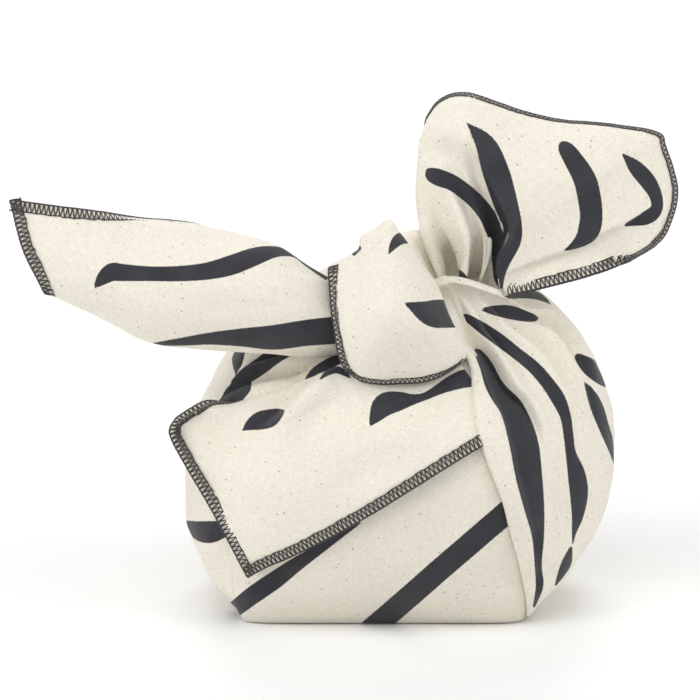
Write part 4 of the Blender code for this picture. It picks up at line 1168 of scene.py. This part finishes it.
# %% The right end
RIGHT_RIBS = [
    # each rib: root, four points on the way, hem; from the lower hem round to the rolled left side
    [(55.5, 142.8, -27), (66, 144.9, -27.5), (77, 147.4, -26.5), (88, 150.4, -24), (99, 153.9, -20.5),
     (109.1, 157.4, -16)],
    [(55.2, 143.3, -27), (68, 147.3, -26), (81, 151.6, -23.5), (94.5, 155.8, -19.5), (108, 160.2, -14.5),
     (120.9, 164.8, -9)],
    [(54.9, 143.8, -27), (69, 150.5, -24.5), (83, 156.5, -21), (97.5, 162, -16.5), (112, 167.4, -10.5),
     (126.5, 173, -4.5)],
    [(54.6, 144.2, -27), (69, 155, -22.5), (83, 164.5, -20), (98, 172.8, -15.5), (114, 180.6, -8.5),
     (130, 188.5, 1)],
    [(54.3, 144.6, -27), (67.5, 161, -22.5), (80, 175.5, -20), (94, 187.5, -15.5), (109, 198, -7),
     (124.8, 207, 6)],
    [(54.1, 144.9, -27), (66, 163, -23), (77.5, 178.5, -20.5), (91, 192, -16), (105.5, 203.5, -7),
     (120.6, 213.3, 8)],
    [(53.9, 145.1, -27), (62.5, 165.5, -24.5), (70.5, 182.5, -21.5), (78.5, 197.5, -16.5),
     (87.5, 209, -7), (96.5, 217, 8)],
    [(53.7, 145.2, -27), (59.5, 163, -26), (64.5, 180.5, -23.5), (69, 197, -18), (74.5, 210, -8),
     (80, 218.7, 7.5)],
    [(53.5, 145.3, -27.5), (56.5, 160.5, -27.5), (60.5, 176, -26), (58.5, 194, -21.5), (60, 210, -11),
     (64, 222, 6.5)],
    [(53.2, 145.4, -28), (53.6, 159, -29), (57.8, 173, -29), (50.8, 193, -24.5), (46.5, 210.5, -14),
     (48.5, 227.2, 5.5)],
    [(52.7, 145.4, -28), (51.4, 158.2, -29.5), (55.9, 172.1, -30), (47.4, 192.2, -25.5),
     (41.6, 210.3, -15.5), (42.2, 229.2, 4.8)],
    [(53, 146, -23), (53.4, 158.8, -22), (57.9, 172.8, -22), (49.2, 192.8, -19.5), (41, 210.8, -14.6),
     (38.6, 230, 4.7)],
    [(48, 143, -20), (48.6, 160, -18.5), (50, 173, -18), (43.5, 193, -15.5), (38, 212, -12.5),
     (34.8, 230.2, 4.7)],
    [(42, 143.5, -25), (46.5, 160, -25), (45.5, 172, -23), (39, 192, -18), (33, 213, -11),
     (31.6, 229.6, 5)],
    [(39, 144, -15), (41.8, 161, -15), (41.5, 171, -18.5), (34, 192, -18.5), (29.5, 213.5, -9.5),
     (28.8, 228.5, 6)],
    [(36, 144.5, -27), (37.5, 161, -28), (36.5, 172, -27), (29, 193, -19.5), (25.5, 213, -6.5),
     (26.6, 227.2, 7.5)],
    [(33, 145, -15), (31, 158, -16), (28, 168, -20), (22.5, 192, -16.5), (21.5, 211.5, -2.5),
     (24, 224.5, 9.5)],
    [(29, 145, -24), (22.5, 160, -21), (18.5, 172, -17), (16.6, 192, -8), (18, 209, 2),
     (21.3, 218.7, 12)],
    [(29, 146, -8), (21, 163, 0), (20, 177, 7), (20.5, 195, 10), (22.5, 207, 14), (25, 216, 15.5)],
    [(38, 154, 6), (40, 168, 11), (42, 180, 15), (43.5, 194, 17), (44.5, 205, 18.5), (46, 214, 19)],
]
RIGHT_END_FOLDS = [
    ("roll", 5, 5, [(19, 205, 0), (25, 211.5, 2.4), (33, 212.5, 2.8), (38.6, 207, 2), (42, 199, 0)]),
    ("roll hollow", 5, 5, [(20, 201, 0), (28, 203.5, -2.6), (35, 198, -2.6), (41, 188, 0)]),
    ("strip edge", 9, 0.8, [(55, 152.4, 0.6), (68, 157.6, 1.3), (80.9, 162.1, 1.6), (98, 169.9, 1.5),
        (110, 175.6, 1), (118, 180.5, 0)]),
    ("strip", 0.8, 7, [(55, 150.8, -0.6), (68, 156, -1.2), (80.9, 160.4, -1.5), (98, 168.2, -1.3),
        (110, 174, -0.8), (118, 179, 0)]),
    ("panel", 12, 12, [(70, 178, 0), (82, 190, 1.2), (96, 200, 1.2), (110, 206, 0)]),
    ("root crease", 1.4, 2.6, [(22, 182, 0), (26.8, 170, -2.6), (30.1, 161, -5), (32.8, 151, -6)]),
    ("root crease", 2.6, 1.4, [(47, 182, 0), (46.6, 171, -2.6), (44.5, 160, -5), (40.2, 149, -6)]),
    ("lobe", 4, 4, [(34, 184, 0), (36, 172, 1.4), (38, 162, 2.4), (37, 151, 2.4)]),
    ("lobe tuck", 1, 1.6, [(35, 172, 0), (36.6, 164, -2), (36.4, 157, -2.4), (34.4, 151, -1.6)]),
    ("left lobe", 3.4, 3.4, [(19, 178, 0), (22.6, 168, 1.6), (27, 157, 2.4), (29, 150, 2)]),
]
RIGHT_END_STROKES = [
    ("edge", "front", [(38.4, 217, 0.2), (46.2, 208, 4.3), (50.9, 195.8, 5.7), (55.4, 181.4, 5.1),
        (58.2, 172.4, 4), (57.4, 165.8, 4.3), (53.7, 157, 3.4), (52.4, 150.6, 2.4), (53.4, 144.6, 0.6)]),
    ("inner", "front", [(21.6, 196.6, 0.8), (23.4, 194.6, 3), (26.6, 193.2, 3.7), (33.2, 190.4, 3.5),
        (42, 183.4, 3.5), (48, 175.5, 3.6), (51.2, 166, 3.2), (51.4, 157, 2.2), (51, 151, 1)]),
    ("root", "front", [(33.4, 153, 0.8), (35, 151.4, 1.9), (37.4, 149.4, 1.6)]),
    ("middle", "front", [(79.8, 208.4, 0.5), (80.8, 206.4, 2.8), (83, 203.4, 3.9), (89, 193.4, 4.9),
        (91.3, 185.2, 5.1), (92.3, 177.2, 4.9), (91.4, 171, 4.8), (88.6, 166.9, 3.2), (83.8, 163.4, 1.3),
        (80.6, 161.8, 0.3)]),
    ("outer", "front", [(106.3, 203.3, 0.6), (111.8, 197.7, 3.2), (116.8, 192.2, 3.6),
        (120.3, 186.2, 2.9), (121, 180.2, 2.6), (116.8, 176.2, 3), (107.3, 172.9, 0.6)]),
]
# how far its outer hem bends back, at places that are spread evenly along it
RIGHT_CURL = [4, 4, 4.5, 5, 5, 6, 8, 9, 4, 0]

right_points = end_grid(RIGHT_RIBS, RIGHT_END_FOLDS, 240, 110, 71)
right_points = curled_hem(right_points, smooth(RIGHT_CURL, 240))
right_end = cloth_sheet("right_end", to_front(right_points), RIGHT_END_STROKES, 12, flat=True)

# %% [markdown]
# ## The overlocked hems
#
# The cloth's edge is overlocked with three dark threads: a row of needle stitches some 4 mm in from the
# edge, loops from it to the edge on both sides of the cloth, and a chain along the edge itself. One
# stitch is built from short bent threads and repeated along each hem with Geometry Nodes. The hem's
# points carry the directions along the hem and out of the cloth.

# %% One stitch, repeated along a hem
STITCH_PITCH, STITCH_WIDTH, THREAD_RADIUS = 2.05, 4.2, 0.30     # millimetres
THREAD_BED = 0.8        # a thread's middle lies this share of its radius off the cloth
STITCH_SIZES = [(1.0, 0.93, 1.0), (1.06, 1.06, 1.1)]    # from the smallest to the largest, as shares
# a stitch's threads on each face, as three places (along, inward) and how many straight pieces
FACE_THREADS = [
    ([(-0.5, -0.03), (-0.55, 0.55), (-0.12, 1.0)], 4),      # from the edge up to the needle thread
    ([(-0.12, 1.0), (0.16, 0.5), (0.32, -0.03)], 4),        # and back down to the edge
    ([(-0.5, 1.0), (0.0, 1.05), (0.5, 1.0)], 2),            # the needle thread
    ([(-0.5, -0.04), (0.0, -0.10), (0.5, -0.04)], 3),       # the chain along the edge
]


def overlock_group():
    """Repeats an overlock stitch on the points of a hem."""
    tree = bpy.data.node_groups.new("overlock", "GeometryNodeTree")
    interface = tree.interface
    interface.new_socket("Hem", in_out="INPUT", socket_type="NodeSocketGeometry")
    defaults = {"Pitch": STITCH_PITCH * MM, "Width": STITCH_WIDTH * MM, "Thread Radius": THREAD_RADIUS * MM,
                "Cloth": COTTON_THICKNESS * MM}
    for name, value in defaults.items():
        interface.new_socket(name, in_out="INPUT", socket_type="NodeSocketFloat").default_value = value
    interface.new_socket("Seed", in_out="INPUT", socket_type="NodeSocketInt").default_value = 3
    interface.new_socket("Thread", in_out="INPUT", socket_type="NodeSocketMaterial")
    interface.new_socket("Stitches", in_out="OUTPUT", socket_type="NodeSocketGeometry")
    n = Nodes(tree)
    source = n.add("NodeGroupInput").outputs
    face = n.math("MULTIPLY", source["Thread Radius"], THREAD_BED)
    below = n.math("SUBTRACT", n.math("MULTIPLY", source["Cloth"], -1.0), face)

    def place(along, inward, out):
        x = n.math("MULTIPLY", source["Pitch"], along)
        y = n.math("MULTIPLY", source["Width"], inward)
        return n.add("ShaderNodeCombineXYZ", {0: x, 1: y, 2: out}).outputs[0]

    def thread(places, steps):
        start, middle, end = (place(*at) for at in places)
        return n.add("GeometryNodeCurveQuadraticBezier", {"Resolution": steps, "Start": start,
                                                          "Middle": middle, "End": end}).outputs[0]

    half_way = n.math("MULTIPLY", source["Cloth"], -0.5)
    threads = [thread([(*at, out) for at in places], steps)
               for out in (face, below) for places, steps in FACE_THREADS]
    threads.append(thread([(-0.5, -0.07, face), (-0.2, -0.16, half_way), (0.1, -0.07, below)], 3))
    joined = n.add("GeometryNodeJoinGeometry")
    for curve in threads:
        tree.links.new(curve, joined.inputs[0])
    profile = n.add("GeometryNodeCurvePrimitiveCircle",
                    {"Resolution": 5, "Radius": source["Thread Radius"]})
    tube = n.add("GeometryNodeCurveToMesh",
                 {"Curve": joined.outputs[0], "Profile Curve": profile.outputs[0]})
    along = n.add("GeometryNodeInputNamedAttribute", {"Name": "along"}, data_type="FLOAT_VECTOR")
    out = n.add("GeometryNodeInputNamedAttribute", {"Name": "out"}, data_type="FLOAT_VECTOR")
    turn = n.add("FunctionNodeAxesToRotation", {"Primary Axis": along.outputs[0],
                                                "Secondary Axis": out.outputs[0]},
                 primary_axis="X", secondary_axis="Z")
    size = n.add("FunctionNodeRandomValue",
                 {0: STITCH_SIZES[0], 1: STITCH_SIZES[1], "Seed": source["Seed"]}, data_type="FLOAT_VECTOR")
    copies = n.add("GeometryNodeInstanceOnPoints", {"Points": source["Hem"], "Instance": tube.outputs[0],
                                                    "Rotation": turn.outputs[0], "Scale": size.outputs[0]})
    real = n.add("GeometryNodeRealizeInstances", {"Geometry": copies.outputs[0]})
    finished = n.add("GeometryNodeSetMaterial", {"Geometry": real.outputs[0], "Material": source["Thread"]})
    n.add("NodeGroupOutput", {0: finished.outputs[0]})
    return tree


OVERLOCK = overlock_group()
print("one stitch:", len(FACE_THREADS) * 2 + 1, "threads,", STITCH_PITCH, "by", STITCH_WIDTH, "mm")

# %% [markdown]
# ## The thread
#
# The thread is probably spun polyester, nearly black with a brown tinge. Its twist is far too fine for a
# mesh, so slanting bands make it as height, with a painted highlight on their raised parts.

# %% The thread's finish
THREAD_COLOUR = (0.022, 0.018, 0.018, 1.0)
# painted highlight: a lighter colour on the raised parts of the twist
PLY_HIGHLIGHT_COLOUR = (0.060, 0.048, 0.044, 1.0)         # on the raised parts of the twist
PLY_HEIGHT = 0.08       # and how high they are raised, in millimetres
TWIST_SCALE = 900.0     # how fine the bands are


def thread_material():
    """Twisted dark polyester thread, with a painted highlight on the raised parts of its twist."""
    material, n, shader = node_material("overlock thread")
    place = n.add("ShaderNodeTexCoord").outputs["Object"]
    twist = n.add("ShaderNodeTexWave", {"Vector": place, "Scale": TWIST_SCALE, "Distortion": 3.0,
                                        "Detail": 2.0},
                  wave_type="BANDS", bands_direction="DIAGONAL").outputs["Fac"]
    # the raised parts of the twist get a painted highlight
    n.fill(shader, {"Base Color": n.mix(twist, THREAD_COLOUR, PLY_HIGHLIGHT_COLOUR),
                    "Normal": n.bump(twist, 0.5, PLY_HEIGHT * MM), "Roughness": 0.62, "Sheen Weight": 0.25})
    return material


THREAD = thread_material()
print("thread colour:", THREAD_COLOUR[:3])

# %% [markdown]
# ## Where the stitches go
#
# A hem is a border of a sheet's grid, or a stretch of it where the rest is tucked away. One point for
# each stitch is spaced evenly along it. A row of the grid a little further in tells on which side of the
# border the cloth lies.

# %% Placing the stitches
INNER = 3               # that row is this many in from the border


def hem_points(grid, outward, border, start, stop):
    """Points along a border of a grid, one for each stitch, with the directions along and out."""
    line, inner, normal = {
        "first row": (grid[0], grid[INNER], outward[0]),
        "first column": (grid[:, 0], grid[:, INNER], outward[:, 0]),
        "last column": (grid[:, -1], grid[:, -1 - INNER], outward[:, -1]),
    }[border]
    arc = lengths_along(line, 0)
    count = max(2, round((stop - start) * arc[-1] / STITCH_PITCH))
    at = (start + (stop - start) * (np.arange(count) + 0.5) / count) * arc[-1]

    def read(values, where):
        return np.stack([np.interp(where, arc, values[:, k]) for k in range(3)], axis=-1)

    place, out = read(line, at), read(normal, at)
    along = unit(read(line, at + STITCH_PITCH / 2) - read(line, at - STITCH_PITCH / 2))
    out = unit(out - (out * along).sum(-1, keepdims=True) * along)
    inward = read(inner, at) - place
    hand = np.sign((np.cross(out, along) * inward).sum(-1, keepdims=True))
    return place, along * hand, out


def stitch_hems(name, runs, sheet):
    """Overlock stitches along runs of hem points."""
    place, along, out = (np.concatenate(parts) for parts in zip(*runs))
    data = bpy.data.meshes.new(name)
    data.from_pydata((place * MM).tolist(), [], [])
    for key, value in (("along", along), ("out", out)):
        data.attributes.new(key, "FLOAT_VECTOR", "POINT").data.foreach_set("vector", value.ravel())
    stitches = link_object(name, data)
    repeat = stitches.modifiers.new("overlock", "NODES")
    repeat.node_group = OVERLOCK
    sockets = {item.name: item.identifier for item in OVERLOCK.interface.items_tree}
    repeat[sockets["Thread"]] = THREAD
    plain_mesh(stitches)
    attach(stitches, "root")
    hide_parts("wrap_cloth")
    print(f"{name}: {len(place)} stitches on {sheet.name}")
    return stitches


HEMS = [
    # sheet, its grid, runs of (border, start, stop) with the shares of the border where stitches show
    (flap, flap_points, [("first row", 0, 1), ("first column", 0, 1), ("last column", 0, 0.42)]),
    (band, band_points, [("first row", 0, 0.6), ("first column", 0, 0.82)]),
    (left_end, left_points, [("first column", 0, 0.53), ("first row", 0, 1)]),
    (right_end, right_points, [("first row", 0.015, 1), ("last column", 0, 1)]),
]
for sheet, grid, runs in HEMS:
    normals = grid_normals(grid)
    normals *= np.sign(normals[SHOWN] @ FORWARD)
    runs = [hem_points(grid, normals, *run) for run in runs]
    stitch_hems(sheet.name + "_stitches", runs, sheet)

# %% [markdown]
# ## The floor and the light
#
# A plain white floor, a white surround and four large soft lamps stand in for a studio. Of the three
# lamps in front the left one is the strongest, so the folds are shaded to the right. The fourth stands
# behind and keeps the floor white there.

# %% Studio
FLOOR_LEVEL = -0.0006   # metres, so that the floor's face doesn't lie in the cloth's
SURROUND = 0.36


def floor():
    """A wide white floor with a faint grain."""
    data = bpy.data.meshes.new("studio_floor")
    corners = [(-4, -3), (4, -3), (4, 5), (-4, 5)]
    data.from_pydata([(x, y, FLOOR_LEVEL) for x, y in corners], [], [(0, 1, 2, 3)])
    material, n, shader = node_material("white floor")
    grain = n.noise(n.add("ShaderNodeTexCoord").outputs["Object"], 40.0, 3.0)
    n.fill(shader, {"Base Color": n.mix(grain, (0.93, 0.93, 0.925, 1), (0.95, 0.95, 0.945, 1)),
                    "Roughness": 0.8})
    data.materials.append(material)
    return link_object("studio_floor", data)


def soft_lamp(name, place, size, power, at=(0, 0, 0.1)):
    """A square lamp with sides of that size in metres, turned towards a point."""
    lamp = bpy.data.lights.new(name, "AREA")
    lamp.shape = "SQUARE"
    lamp.size = size
    lamp.energy = power
    obj = link_object(name, lamp)
    obj.location = place
    obj.rotation_euler = (Vector(at) - Vector(place)).to_track_quat("-Z", "Y").to_euler()


floor()
soft_lamp("lamp_left", (-1.7, -0.9, 1.2), 1.5, 20)
soft_lamp("lamp_right", (1.8, -0.6, 1.1), 1.5, 14)
soft_lamp("lamp_top", (0.0, -1.0, 2.1), 1.6, 19)
soft_lamp("lamp_back", (0.0, 2.2, 1.7), 1.6, 30, (0, 1.3, 0))
world = bpy.data.worlds.new("surround")
world.use_nodes = True
world.node_tree.nodes["Background"].inputs["Color"].default_value = (1, 1, 1, 1)
world.node_tree.nodes["Background"].inputs["Strength"].default_value = SURROUND
bpy.context.scene.world = world
bpy.context.scene.view_settings.view_transform = "Standard"

# %% [markdown]
# ## The camera
#
# The camera looks down by 15 degrees with a long lens, so across and up in the tables are what it sees.

# %% Camera
CAMERA_DISTANCE = 5.0   # metres, as the other lengths of this cell
SEEN_WIDTH = 0.30435    # the width of the view at the wrap
SENSOR_WIDTH = 36       # millimetres, as the lens
AIM = Vector((-0.0122, -0.01428, 0.11466))
towards = Vector((0, math.cos(LEAN), -math.sin(LEAN)))
lens = bpy.data.cameras.new("camera")
lens.sensor_width = SENSOR_WIDTH
lens.lens = SENSOR_WIDTH * CAMERA_DISTANCE / SEEN_WIDTH
lens.clip_end = 30
camera = link_object("camera", lens)
camera.location = AIM - towards * CAMERA_DISTANCE
camera.rotation_euler = towards.to_track_quat("-Z", "Y").to_euler()
bpy.context.scene.camera = camera
print("lens:", round(lens.lens, 1), "mm")

# %% [markdown]
# ## The sheets together
#
# Together the sheets are what shows of one square of about 700 mm.
